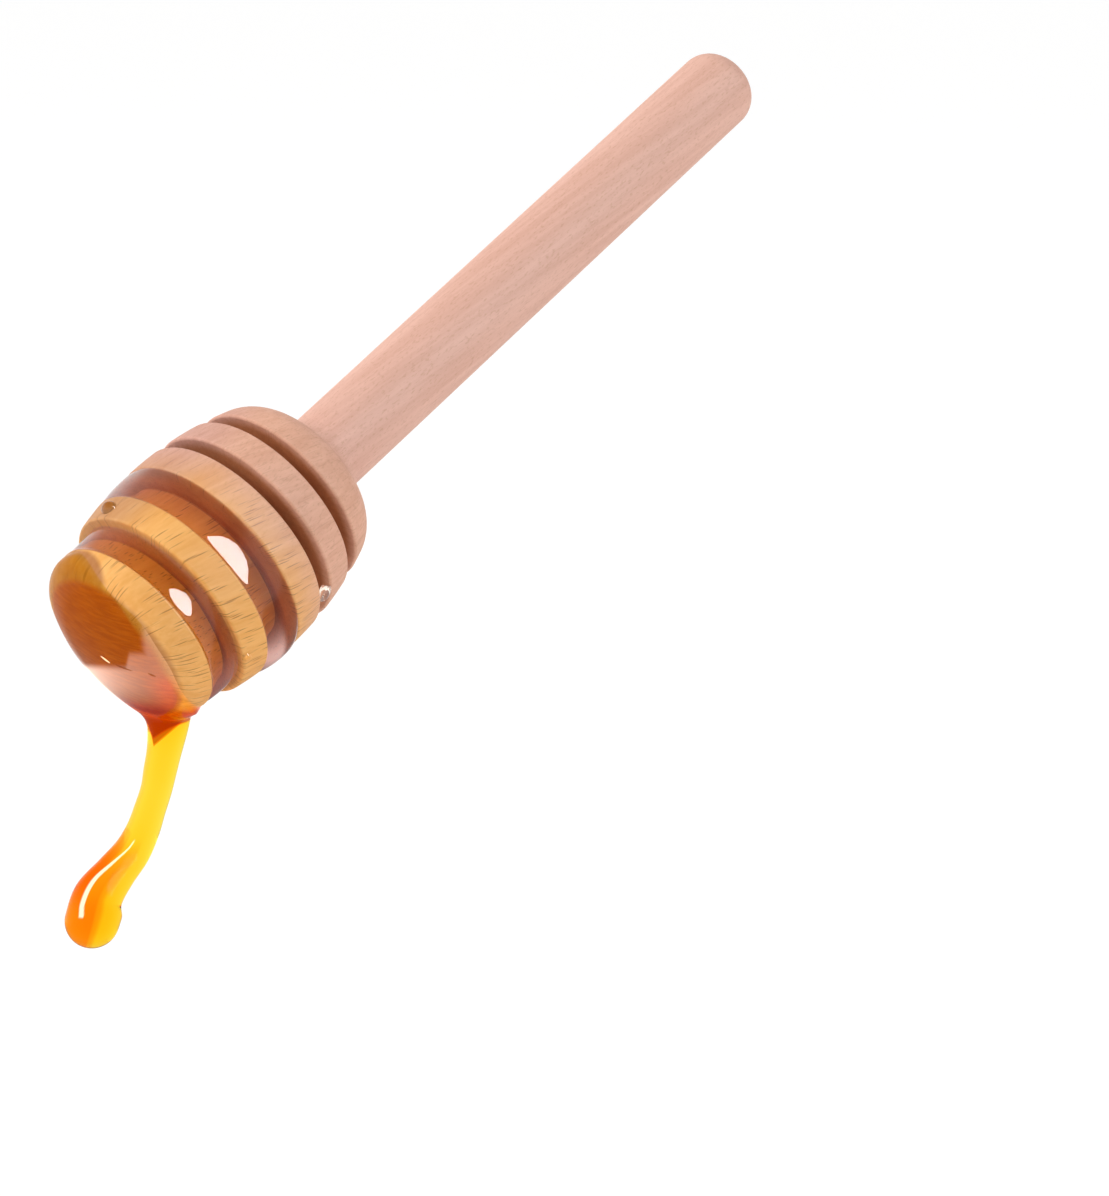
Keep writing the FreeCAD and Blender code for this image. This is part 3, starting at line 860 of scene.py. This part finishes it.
@dataclass
class GrooveHoney:
    """Honey that fills one groove, with lengths in millimetres.

    The section is the groove, with a surface that climbs its walls and is hollow between them. The
    hollow is deepest on top, where honey has run off. Swells are lifts of the surface, each a height
    with the turn of its middle and its spread in degrees. Painted highlights lie on it, each a level
    with a turn, a spread and the place across where it starts.
    """

    name: str
    node: str
    start: float
    width: float
    brim: float = 0.09
    tilt: float = 0.1
    hollow: float = 0.16
    run: float = 0.03
    climb: float = 0.55
    swells: tuple[Triple, ...] = ()
    painted_gleams: tuple[tuple[float, float, float, float], ...] = ()
    painted_gleam_length: float = 0.5
    spill: float = 0.0
    spill_turn: float = 150.0
    spill_spread: float = 24.0
    spill_lift: float = 0.5
    bite: float = 0.05
    around: int = 256
    across: int = 56
    floor_rows: int = 10

    def section(self) -> tuple[np.ndarray, np.ndarray]:
        """Places around the closed section.

        Returns:
            The place across the groove from -1 to 1, and 1 on the surface or 0 in the wood.
        """
        surface = -np.cos(np.linspace(0.0, math.pi, self.across))
        floor = np.linspace(1.0, -1.0, self.floor_rows)
        return np.concatenate([surface, floor]), np.repeat([1.0, 0.0], [self.across, self.floor_rows])

    def build(self, material: bpy.types.Material) -> bpy.types.Object:
        """The honey, as a ring whose section changes with the turn.

        The surface's radius is the barrel's, less the brim, less a tilt toward the handle, less the hollow
        times one minus powers of the place across. The hollow changes with the cosine of the turn, and
        swells fill it. At one turn the honey spills over the groove's upper edge and rises above the barrel.

        Args:
            material: The honey's finish.

        Returns:
            The piece.
        """
        turn = full_turn(self.around)[None, :]
        place, on_surface = (row[:, None] for row in self.section())
        spill = self.spill * bell(turn, self.spill_turn, self.spill_spread)
        half = self.width / 2
        depth = self.start + half + place * (half + self.bite) - spill * (1.0 - place) / 2
        wall = np.clip(depth, self.start - spill, self.start + self.width)
        ripple = 0.035 * np.sin(3 * turn + 0.7) + 0.025 * np.sin(5 * turn + 2.1)
        hollow = self.hollow - self.run * np.cos(turn) + ripple
        fall = 1.0 - self.climb * place**2 - (1 - self.climb) * place**8
        swell = np.zeros_like(turn)
        for height, at, spread in self.swells:
            swell += height * bell(turn, at, spread)
        lift = swell * fall + self.spill_lift * spill * (1.0 - place**4)
        tilt = self.tilt * (1.0 - place) / 2
        surface = HEAD.barrel(wall) - self.brim - tilt - hollow * fall + lift
        radius = np.where(on_surface > 0, surface, HEAD.core_radius - self.bite)
        mesh = grid_mesh(self.name, AXIS.place(depth, radius, turn), Closing.RING)
        # Painted highlights on the honey's surface, by turn and from a place across the groove on.
        gleam = np.zeros((len(place), self.around))
        for level, at, spread, start in self.painted_gleams:
            gleam += level * bell(turn, at, spread) * ease(place, start, self.painted_gleam_length)
        add_attribute(mesh, "gleam", gleam)
        return add_piece(mesh, material, "honey", self.node)


@dataclass
class NoseHoney:
    """Honey that coats the nose, gathers under it and runs off in a bent stream with a bulb.

    One sheet of lines: each starts on the coat's edge, crosses the nose to the gather and goes down the
    stream. Lengths are in millimetres and angles in degrees. Drops are lengths below the row's origin.
    """

    name: str = "nose_honey"
    edge_depth: float = 24.9
    top_lap: float = 2.15
    top_turn: float = 160.0
    top_spread: float = 35.0
    low_lap: float = 3.7
    low_spread: float = 36.0
    film: float = 0.36
    edge_length: float = 1.3
    gather: float = 0.35
    gather_spread: float = 2.6
    bite: float = 0.12
    round_start: float = 0.7
    pole_depth: float = 23.5
    cone: Triple = (0.0, 0.4, 0.75)
    around: int = 176
    coat_rows: int = 110
    neck_rows: int = 72
    stream_rows: int = 170
    bulb_rows: int = 36
    settle: int = 280
    soften: int = 220
    pull: float = 0.8
    hold: float = 4.0
    hold_spread: float = 35.0
    bulb_radius: float = 2.12
    bulb_blend: float = 6.0
    widening: float = 3.0
    thread_end: float = -0.9
    thread_fade: float = 2.2
    side_turn: float = 44.3
    tip_drop: float = 34.5
    tip_side: float = -0.56
    bend_drop: float = 41.4
    bulb_drop: float = 44.6
    painted_line_top: float = 41.2
    painted_line_end: float = 46.5
    look_up: Triple = (0.153, 0.157, 0.976)
    look_right: Triple = (0.716, -0.699, 0.0)
    look_middle: float = -29.56
    painted_veil_drop: float = 32.3
    stream: tuple[Triple, ...] = (
        (-39.95, -32.60, 1.74),
        (-40.25, -33.90, 1.57),
        (-40.55, -35.15, 1.39),
        (-40.93, -36.40, 1.33),
        (-41.36, -37.90, 1.24),
        (-42.07, -39.46, 1.25),
        (-42.82, -41.00, 1.32),
        (-43.94, -42.50, 1.45),
        (-45.60, -43.85, 1.61),
        (-47.24, -45.35, 1.90),
        (-47.98, -47.25, 2.00),
    )

    def edge(self, turn: np.ndarray) -> tuple[np.ndarray, np.ndarray]:
        """Radius and depth of the coat's edge: around the crown, but further up on top and underneath.

        Args:
            turn: Angles about the axis.

        Returns:
            Radii and depths.
        """
        rim_radius, rim_depth = HEAD.rim_centre
        lap = self.top_lap * bell(turn, self.top_turn, self.top_spread)
        lap += self.low_lap * bell(turn, 0.0, self.low_spread)
        wave = 0.06 * np.sin(4 * turn + 0.4) + 0.05 * np.sin(7 * turn + 1.9)
        depth = self.edge_depth - lap + wave
        on_round = rim_radius + np.sqrt(np.clip(HEAD.rim_arc**2 - (depth - rim_depth) ** 2, 0, None))
        return np.where(depth > rim_depth + self.round_start, on_round, HEAD.barrel(depth)), depth

    def stream_grid(self, turn: np.ndarray) -> np.ndarray:
        """Rings down the stream and around the bulb, each square to the stream's line.

        The stream widens evenly into the bulb on one side. On the other the two meet in a notch: their
        radii are joined by adding their high powers and taking the root.

        Args:
            turn: Angles of the lines.

        Returns:
            Rings of points, of which the last is the bulb's pole.
        """
        path = smooth_path(np.array(self.stream), self.stream_rows)
        heading = np.gradient(path[:, :2], axis=0)
        heading /= np.linalg.norm(heading, axis=1, keepdims=True)
        travel = np.concatenate([[0.0], np.linalg.norm(np.diff(path[:, :2], axis=0), axis=1).cumsum()])
        sweep = np.linspace(0.0, math.pi / 2, self.bulb_rows + 1)[1:]
        beyond = self.bulb_radius * np.sin(sweep)
        middle = np.vstack([path[:, :2], path[-1, :2] + beyond[:, None] * heading[-1]])
        heading = np.vstack([heading, np.repeat(heading[-1:], len(sweep), axis=0)])
        ahead = np.concatenate([travel - travel[-1], beyond])
        thread = np.concatenate([path[:, 2], np.full(len(sweep), path[-1, 2])])
        ball = np.sqrt(np.clip(self.bulb_radius**2 - ahead**2, 0.0, None))
        even = thread + (self.bulb_radius - thread) * ease(ahead, -self.widening, self.widening)
        even = np.where(ahead < 0.0, even, ball)
        thread = thread * (1.0 - ease(ahead, self.thread_end, self.thread_fade))
        notched = (thread**self.bulb_blend + ball**self.bulb_blend) ** (1.0 / self.bulb_blend)
        notch = smooth_step(np.cos(turn))[None, :]
        radius = even[:, None] + notch * (notched - even)[:, None]
        across = np.column_stack([-heading[:, 1], np.zeros(len(middle)), heading[:, 0]])
        across *= np.sign(across[0, 0])
        side = np.sin(turn)[None, :, None] * SIDEWAYS
        ring = np.cos(turn)[None, :, None] * across[:, None, :] + side
        line = np.column_stack([middle[:, 0], np.zeros(len(middle)), middle[:, 1]])
        return line[:, None, :] + radius[:, :, None] * ring

    def kept_off(self, points: np.ndarray, least: np.ndarray) -> np.ndarray:
        """Points pushed out of the wood along its normal until the honey is deep enough.

        Args:
            points: Points in millimetres.
            least: Least distance outside the wood at each point.

        Returns:
            The pushed points.
        """
        depth, radius, turn = AXIS.measure(points)
        away, out_radius, out_depth = HEAD.outside(radius, depth)
        push = np.maximum(least - away, 0.0)
        return AXIS.place(depth + push * out_depth, radius + push * out_radius, turn)

    def lowest_wood(self) -> np.ndarray:
        """The lowest point of the nose, where the rim's round points straight down.

        Returns:
            Its coordinates in millimetres.
        """
        rim_radius, rim_depth = HEAD.rim_centre
        lean = math.radians(AXIS.lean)
        radius = rim_radius + HEAD.rim_arc * math.cos(lean)
        depth = rim_depth + HEAD.rim_arc * math.sin(lean)
        return AXIS.place(np.array(depth), np.array(radius), np.array(0.0))

    def sheet(self, turn: np.ndarray, stream: np.ndarray) -> np.ndarray:
        """The sheet from the coat's edge to the top of the stream, and the stream.

        Straight lines from the edge to the neck are pushed out of the wood. Then each point moves again and
        again to the mean of its neighbours and is pushed out of the wood, as a skin under tension settles.
        Underneath, where edge and stream are close, the neighbours on the same line count more than those
        beside it, so that no line runs past its end. At last the first rings of the stream move with it,
        less and less downward.

        Args:
            turn: Angles of the lines.
            stream: Rings of the stream.

        Returns:
            Rows of points from the edge to the bulb's pole.
        """
        radius, depth = self.edge(turn)
        away, out_radius, out_depth = HEAD.outside(radius, depth)
        sunk = away + self.bite
        edge = AXIS.place(depth - sunk * out_depth, radius - sunk * out_radius, turn)
        share = np.linspace(0.0, 1.0, self.coat_rows, endpoint=False)[:, None, None]
        whole = np.concatenate([(1 - share) * edge[None] + share * stream[0][None], stream])
        loose = np.ones(len(whole))
        loose[0] = 0.0
        loose[self.coat_rows :] = 0.0
        softened = loose.copy()
        neck = slice(self.coat_rows, self.coat_rows + self.neck_rows)
        softened[neck] = smooth_step(np.linspace(1.0, 0.0, self.neck_rows))
        lowest = self.lowest_wood()
        coat = slice(1, self.coat_rows + self.neck_rows // 2)
        hold = (1.0 + self.hold * bell(turn, 0.0, self.hold_spread))[None, :, None]
        for share in [loose] * self.settle + [softened] * self.soften:
            beside = np.roll(whole, 1, axis=1) + np.roll(whole, -1, axis=1)
            mean = (beside[1:-1] + hold * (whole[2:] + whole[:-2])) / (2.0 + 2.0 * hold)
            whole[1:-1] += self.pull * share[1:-1, None, None] * (mean - whole[1:-1])
            travel = np.linalg.norm(np.diff(whole, axis=0, prepend=whole[:1]), axis=-1).cumsum(axis=0)
            near = np.exp(-((np.linalg.norm(whole - lowest, axis=-1) / self.gather_spread) ** 2))
            grown = np.sqrt(ease(travel, 0.0, self.edge_length))
            least = -self.bite + (self.film + self.bite + self.gather * near) * grown
            whole[coat] = self.kept_off(whole[coat], least[coat])
        return whole

    def stream_looks(self, drop: np.ndarray, turn: np.ndarray) -> dict[str, np.ndarray]:
        """How deep the honey looks, with painted shade on one side, and a painted highlight on it.

        It looks deepest in the gather, with a tip down the stream, and less so on one side of the bend,
        where the deeper colour is painted shade. The painted highlight is a thin line down the front of
        the bend.

        Args:
            drop: How far down the sheet's points are.
            turn: Angles of its lines, counted from the look's right.

        Returns:
            Shares from 0 to 1, one for each point, as deep and gleam.
        """
        lateral = np.cos(turn)[None, :]
        aside = lateral - self.tip_side
        tip = self.tip_drop - np.where(aside > 0.0, 1.48 * aside, -4.5 * aside)
        gather = ease(drop, 29.8, 3.0) * ease(tip - drop, 0.0, 0.4)
        low = ease(drop, self.bend_drop, 2.2)
        # Painted shade: deeper colour down the look's left edge and over the left half of the bend and bulb.
        edge = -1.0 + 0.55 * ease(drop, 40.5, 1.3)
        painted_shade_band = ease(edge - lateral, -0.06, 0.12) * ease(drop, 40.2, 0.6)
        half = ease(-lateral, -0.25, 0.2)
        in_bulb = ease(drop, self.bulb_drop, 2.0)
        bend = 0.08 * low + 0.20 * low * half + 0.17 * painted_shade_band * (1.0 - in_bulb) + 0.05 * in_bulb * half
        bend += 0.12 * ease(-lateral, 0.47, 0.3) * ease(drop, 33.6, 1.5) * (1.0 - low)
        # Painted highlight: a thin line left of the middle on the front, down the bend into the bulb.
        middle = -0.12 - 0.31 * ease(drop, self.bend_drop, 2.4) + 0.07 * ease(drop, 45.4, 1.0)
        half_width = 0.03 + 0.055 * ease(drop, 41.5, 1.8)
        line = ease(half_width - np.abs(lateral - middle), -0.02, 0.04) * (np.sin(turn)[None, :] < 0.0)
        line *= ease(drop, self.painted_line_top, 0.3) * ease(-drop, -self.painted_line_end, 0.2)
        return {"deep": np.maximum(gather, bend), "gleam": line}

    def gather_looks(self, below: np.ndarray, aside: np.ndarray) -> dict[str, np.ndarray]:
        """The pale painted reflection and the painted red light where the honey gathers.

        The painted reflection starts below a stepped line, or beside another one, and fades toward the
        stream. The painted red light grows toward the look's right and is weaker at its end.

        Args:
            below: How far down the sheet's points look.
            aside: How far to the look's right.

        Returns:
            Shares from 0 to 1, one for each point, as veil and glow.
        """
        # Painted reflection: a pale light over the gather.
        low = ease(below, self.painted_veil_drop + 1.1 * ease(-aside, 1.15, 0.6), 0.7)
        strip = ease(aside, -0.35, 0.7) * ease(below, 30.0, 1.2)
        veil = np.maximum(low, strip) * (1.0 - ease(below, 33.6, 3.8))
        # Painted red light where the honey is thick.
        glow = ease(below, 33.9, 1.3) * (1.0 - ease(below, 36.7, 0.5))
        glow *= ease(aside, -0.8, 2.6) * (1.0 - 0.6 * ease(aside, 1.7, 0.9))
        return {"veil": veil, "glow": glow}

    def build(self, material: bpy.types.Material) -> bpy.types.Object:
        """The honey, closed by a cone inside the nose and by the bulb's pole.

        Args:
            material: The honey's finish.

        Returns:
            The piece.
        """
        turn = full_turn(self.around)
        sheet = self.sheet(turn, self.stream_grid(turn))
        pole = AXIS.place(np.full(self.around, self.pole_depth), np.zeros(self.around), turn)
        share = np.array(self.cone)[:, None, None]
        grid = np.concatenate([(1 - share) * pole[None] + share * sheet[:1], sheet])
        mesh = grid_mesh(self.name, grid, Closing.POLES)
        looks = self.stream_looks(-grid[..., 2], turn + math.radians(self.side_turn))
        below, aside = -(grid @ np.array(self.look_up)), grid @ np.array(self.look_right) - self.look_middle
        looks |= self.gather_looks(below, aside)
        for name, values in looks.items():
            each = values.ravel()
            add_attribute(mesh, name, np.concatenate([each[:1], each[self.around : -self.around], each[-1:]]))
        return add_piece(mesh, material, "honey", "honey_nose_coat", "honey_drip")


def add_drop(name: str, grid: np.ndarray, gleam: float, material: bpy.types.Material) -> bpy.types.Object:
    """Puts a small piece of honey on the dipper, with an even painted glint on its surface.

    Args:
        name: Name of the piece.
        grid: Points in millimetres, whose first and last rows are poles.
        gleam: Level of the painted glint.
        material: The honey's finish.

    Returns:
        The piece.
    """
    mesh = grid_mesh(name, grid, Closing.POLES)
    add_attribute(mesh, "gleam", np.full(len(mesh.vertices), gleam))
    return add_piece(mesh, material, "honey")


@dataclass
class HoneyBead:
    """A drop of honey that sits on the barrel, with lengths in millimetres and the turn in degrees."""

    name: str
    turn: float
    depth: float
    along: float
    around: float
    height: float
    root: float = 0.1
    # Level of a painted glint on the drop.
    gleam: float = 0.0
    sunk: float = 0.05
    fullness: float = 0.6
    rings: int = 14
    spokes: int = 36

    def build(self, material: bpy.types.Material) -> bpy.types.Object:
        """The drop: an oval dome, a power of one less the squared distance, closed in the wood.

        Args:
            material: The honey's finish.

        Returns:
            The piece.
        """
        reach = np.sin(np.linspace(0.0, math.pi / 2, self.rings))[:, None]
        angle = full_turn(self.spokes)[None, :]
        depth = self.depth + self.along * reach * np.cos(angle)
        turn = math.radians(self.turn) + self.around * reach * np.sin(angle) / HEAD.barrel(self.depth)
        dome = np.clip(1.0 - reach**2, 0.0, None) ** self.fullness
        rise = (self.height + self.sunk) * dome - self.sunk
        skin = AXIS.place(depth, HEAD.barrel(depth) + rise, turn)
        below = AXIS.place(0.5 * depth + 0.5 * self.depth, HEAD.barrel(depth) - self.root, turn)[-1:]
        pole = AXIS.place(np.array(self.depth), HEAD.barrel(self.depth) - self.root, np.radians(self.turn))
        grid = np.concatenate([skin, below, np.broadcast_to(pole, below.shape)])
        return add_drop(self.name, grid, self.gleam, material)


@dataclass
class PaintedEdgeThread:
    """A thin strip on the skin of the nose's honey, with lengths in millimetres. A dark one is painted
    shade along the wood's lower edge seen through the honey, and a pale one a painted glint.
    """

    name: str
    start: Triple
    end: Triple
    outward: Triple
    width: float = 0.11
    height: float = 0.07
    gleam: float = 0.0
    rings: int = 25
    spokes: int = 24

    def build(self, material: bpy.types.Material) -> bpy.types.Object:
        """The thread: a long ball between its ends, half sunk, its girth the root of one less the square.

        Args:
            material: The honey's finish.

        Returns:
            The piece.
        """
        start, end, outward = np.array(self.start), np.array(self.end), np.array(self.outward)
        place = np.sin(np.linspace(-math.pi / 2, math.pi / 2, self.rings))[:, None, None]
        angle = full_turn(self.spokes)[None, :, None]
        side = np.cross(outward, end - start)
        side /= np.linalg.norm(side)
        girth = np.sqrt(np.clip(1.0 - place**2, 0.0, None))
        ring = self.width * np.cos(angle) * side + self.height * np.sin(angle) * outward
        grid = (start + end) / 2 + place * (end - start) / 2 + girth * ring
        return add_drop(self.name, grid, self.gleam, material)


class LampShape(Enum):
    """Outlines of a flat lamp."""

    RECTANGLE = "RECTANGLE"
    OVAL = "ELLIPSE"


def standing(place: np.ndarray | Triple, *axes: np.ndarray) -> Matrix:
    """The matrix of something at a place in millimetres that has its own right, up and back axes."""
    turned = Matrix(np.column_stack(axes).tolist()).to_4x4()
    return Matrix.Translation(Vector((np.asarray(place) * MM).tolist())) @ turned


@dataclass
class Studio:
    """Camera, lamps, white surroundings and floor, with lengths in millimetres."""

    azimuth: float = -44.32
    elevation: float = 12.66
    camera_at: Triple = (-223.10, -230.63, 42.96)
    lens: float = 116.55
    sensor: float = 36.0
    clip_start: float = 0.01
    aim_depth: float = 13.0
    floor_height: float = -76.0
    floor_rings: tuple[float, float] = (1.0, 300.0)
    floor_radius: float = 1400.0
    floor_columns: int = 96
    sweep_radius: float = 600.0
    sweep_rows: int = 13
    ambient: float = 0.66
    glossy_ambient: float = 0.22
    shine: float = 1.08
    shine_share: float = 0.82
    dim_at: Triple = (-60.0, -30.0, -76.0)
    dim_reach: tuple[float, float] = (120.0, 180.0)

    def directions(self) -> tuple[np.ndarray, np.ndarray, np.ndarray]:
        """The camera's right, up and back vectors.

        Returns:
            Three unit vectors.
        """
        turn, rise = math.radians(self.azimuth), math.radians(self.elevation)
        back = np.array([math.sin(turn) * math.cos(rise), -math.cos(turn) * math.cos(rise), math.sin(rise)])
        right = np.array([math.cos(turn), math.sin(turn), 0.0])
        return right, np.cross(back, right), back

    def add_camera(self) -> None:
        """The camera at the photograph's viewing angle."""
        right, up, back = self.directions()
        data = bpy.data.cameras.new("camera")
        data.lens = self.lens
        data.sensor_width = self.sensor
        data.clip_start = self.clip_start
        camera = bpy.data.objects.new("camera", data)
        camera.matrix_world = standing(self.camera_at, right, up, back)
        bpy.context.scene.collection.objects.link(camera)
        bpy.context.scene.camera = camera

    def add_lamp(
        self,
        name: str,
        toward: np.ndarray,
        distance: float,
        size: tuple[float, float],
        level: float,
        upright: Triple = (0.0, 0.0, 1.0),
        shape: LampShape = LampShape.RECTANGLE,
    ) -> bpy.types.Object:
        """A flat lamp that faces the head.

        Args:
            name: Name of the lamp.
            toward: Direction from the head to the lamp.
            distance: Distance from the head.
            size: Width and height.
            level: Brightness of its face, where 1 is white paper.
            upright: Direction that its height leans to.
            shape: Outline of its face.

        Returns:
            The lamp.
        """
        data = bpy.data.lights.new(name, "AREA")
        data.shape = shape.value
        data.size, data.size_y = size[0] * MM, size[1] * MM
        data.energy = level * math.pi * data.size * data.size_y
        lamp = bpy.data.objects.new(name, data)
        toward = toward / np.linalg.norm(toward)
        aim = AXIS.place(np.array(self.aim_depth), np.array(0.0), np.array(0.0))
        side = np.cross(upright, toward)
        side /= np.linalg.norm(side)
        lamp.matrix_world = standing(aim + toward * distance, side, np.cross(toward, side), toward)
        bpy.context.scene.collection.objects.link(lamp)
        return lamp

    def add_lamps(self) -> None:
        """Two soft lamps that light the wood, over the left and on the right, and a window in the gloss."""
        right, up, back = self.directions()
        over_left = -0.76 * right + 0.60 * up + 0.34 * back
        on_right = 0.95 * right - 0.10 * up + 0.12 * back
        for name, toward, level in (("soft_box", over_left, 5.7), ("side_box", on_right, 3.1)):
            lamp = self.add_lamp(name, toward, distance=700.0, size=(420.0, 420.0), level=level)
            lamp.visible_glossy = False
        window = self.add_lamp(
            "window",
            np.array([0.28, -0.81, 0.51]),
            distance=600.0,
            size=(260.0, 640.0),
            level=14.0,
            upright=(-0.50, 0.40, 0.70),
            shape=LampShape.OVAL,
        )
        window.visible_diffuse = False
        window.visible_transmission = False

    def add_world(self) -> None:
        """A plain soft light from all around. Reflections see it pale at the horizon and dim above."""
        world = bpy.data.worlds.new("surroundings")
        bpy.context.scene.world = world
        world.use_nodes = True
        bench = NodeBench(world.node_tree)
        sky = world.node_tree.nodes["Background"]
        up = bench.result(bench.add("SeparateXYZ", Vector=bench.coordinates("Generated")), "Z")
        level = bench.math("MAXIMUM", 1.0 - bench.ramp(up, 0.25, 0.70), self.glossy_ambient)
        mirrored = self.mirrored(bench, bench.add("LightPath"))
        strength = mirrored * (level - self.ambient) + self.ambient
        bench.set(sky, Color=(1.0, 0.985, 0.97, 1.0), Strength=strength)

    def mirrored(self, bench: NodeBench, path: bpy.types.Node) -> Signal:
        """1 for rays that a gloss has thrown back, and 0 for others."""
        return bench.result(path, "Is Glossy Ray") * (1.0 - bench.result(path, "Is Transmission Ray"))

    def backdrop_mesh(self) -> bpy.types.Mesh:
        """A round white floor that sweeps up at its edge: floor and quarter circle, turned once.

        Returns:
            The mesh, with its faces inward and upward.
        """
        sweep = np.linspace(0.0, math.pi / 2, self.sweep_rows)
        out = self.floor_radius + self.sweep_radius * np.sin(sweep)
        reach = np.concatenate([self.floor_rings, out])[:, None]
        lift = np.concatenate([np.zeros(len(self.floor_rings)), self.sweep_radius * (1 - np.cos(sweep))])
        height = (lift + self.floor_height)[:, None]
        turn = full_turn(self.floor_columns)
        parts = np.broadcast_arrays(reach * np.cos(turn), reach * np.sin(turn), height)
        grid = np.stack(parts, axis=-1)
        number = np.arange(len(reach) * len(turn)).reshape(len(reach), len(turn))
        beside = np.roll(number, -1, axis=1)
        quads = np.stack([number[:-1], number[1:], beside[1:], beside[:-1]], axis=-1).reshape(-1, 4)
        mesh = bpy.data.meshes.new("floor")
        mesh.from_pydata((grid.reshape(-1, 3) * MM).tolist(), [], quads.tolist() + [number[0].tolist()])
        mesh.polygons.foreach_set("use_smooth", np.ones(len(mesh.polygons), bool))
        return mesh

    def add_floor(self) -> None:
        """The white floor and wall: part shines white to the camera, and part is lit and keeps the shadow."""
        mesh = self.backdrop_mesh()
        floor = bpy.data.objects.new("floor", mesh)
        bpy.context.scene.collection.objects.link(floor)
        material, bench, shader = new_material("white_floor")
        bench.set(shader, Base_Color=(0.92, 0.92, 0.92, 1.0), Roughness=0.9, Specular_IOR_Level=0.0)
        path = bench.add("LightPath")
        mirrored = self.mirrored(bench, path)
        camera, through = (bench.result(path, name) for name in ("Is Camera Ray", "Is Transmission Ray"))
        seen = bench.math("ADD", camera, through, clamp=True)
        moved = tuple(-part * MM for part in self.dim_at)
        from_dim = bench.add("Mapping", Vector=bench.coordinates(), Location=moved)
        near, far = (reach * MM for reach in self.dim_reach)
        level = bench.ramp(bench.measure("LENGTH", bench.result(from_dim)), near, far)
        white = seen + mirrored * bench.math("MAXIMUM", level, self.glossy_ambient)
        shine = bench.add("Emission", Color=WHITE, Strength=white * self.shine)
        mixed = bench.add("MixShader")
        parts = ((seen + mirrored) * self.shine_share, bench.result(shader), bench.result(shine))
        for socket, value in zip(mixed.inputs, parts):
            bench.feed(socket, value)
        bench.feed(material.node_tree.nodes["Material Output"].inputs["Surface"], bench.result(mixed))
        mesh.materials.append(material)

    def build(self) -> None:
        """Sets up the whole studio."""
        bpy.context.scene.view_settings.view_transform = "Standard"
        self.add_camera()
        self.add_lamps()
        self.add_world()
        self.add_floor()


def main() -> None:
    """Builds and dresses the dipper piece by piece, then its studio."""
    logging.basicConfig(level=logging.INFO, format="%(name)s %(message)s")
    BeechFigure().build()
    HoneyWetting().build()
    Wood().dress()
    # Colour of the painted highlights on the groove honey.
    rosy = (0.95, 0.68, 0.62, 1.0)
    brown = HoneyFinish("honey_brown", absorbed=(0.911, 0.444, 0.111, 1.0), density=90.0, gleam=rosy).build()
    amber = HoneyFinish("honey_amber", absorbed=(0.940, 0.717, 0.067, 1.0), density=300.0, gleam=rosy).build()
    running = HoneyFinish(
        "honey_running",
        absorbed=(0.996, 0.875, 0.0, 1.0),
        density=1200.0,
        index=1.14,
        gloss=0.3,
        tint=(1.0, 0.95, 0.52, 1.0),
    ).build()
    # A dark honey for strips of painted shade along the nose wood's lower edge.
    thread = HoneyFinish(
        "painted_edge_shade", absorbed=(0.72, 0.50, 0.20, 1.0), density=14000.0, index=1.05, gloss=0.3
    ).build()
    dark = HoneyFinish("honey_dark", absorbed=(0.80, 0.60, 0.0, 1.0), density=1500.0).build()
    GrooveHoney(
        "upper_groove_honey",
        "honey_upper_ring",
        start=HEAD.upper_groove,
        width=3.25,
        tilt=0.0,
        swells=((0.45, -45.0, 28.0), (0.35, 145.0, 25.0)),
        painted_gleams=((0.50, -50.0, 13.0, -0.2), (0.12, 165.0, 22.0, -1.5)),
    ).build(brown)
    GrooveHoney(
        "lower_groove_honey",
        "honey_lower_ring",
        start=HEAD.lower_groove,
        width=2.75,
        tilt=0.6,
        hollow=0.4,
        swells=((0.20, -116.0, 11.0), (0.45, -45.0, 28.0)),
        painted_gleams=((0.08, -55.0, 13.0, -1.5), (0.09, 170.0, 22.0, -1.5)),
        spill=0.6,
    ).build(amber)
    NoseHoney().build(running)
    HoneyBead("ring_bead", turn=-192.0, depth=18.78, along=0.60, around=0.80, height=0.50).build(dark)
    HoneyBead("rim_bead", turn=-65.0, depth=19.55, along=0.40, around=0.45, height=0.30).build(amber)
    HoneyBead(
        "groove_bead", turn=-59.5, depth=10.66, along=0.72, around=0.62, height=0.20, root=0.5, gleam=0.06
    ).build(brown)
    # Two dark strips of painted shade along the nose wood's lower edge, and a pale painted glint.
    PaintedEdgeThread(
        "edge_shade_thread",
        start=(-46.02, -1.23, -26.93),
        end=(-45.64, -2.85, -27.20),
        outward=(-0.845, -0.111, -0.521),
    ).build(thread)
    PaintedEdgeThread(
        "short_shade_thread",
        start=(-45.32, -4.29, -27.17),
        end=(-44.98, -4.90, -27.40),
        outward=(-0.808, -0.250, -0.533),
    ).build(thread)
    PaintedEdgeThread(
        "pale_glint_thread",
        start=(-46.36, 0.13, -26.42),
        end=(-46.08, -0.64, -26.89),
        outward=(-0.867, -0.014, -0.498),
        width=0.07,
        gleam=0.5,
    ).build(running)
    Studio().build()


if __name__ == "__main__":
    main()
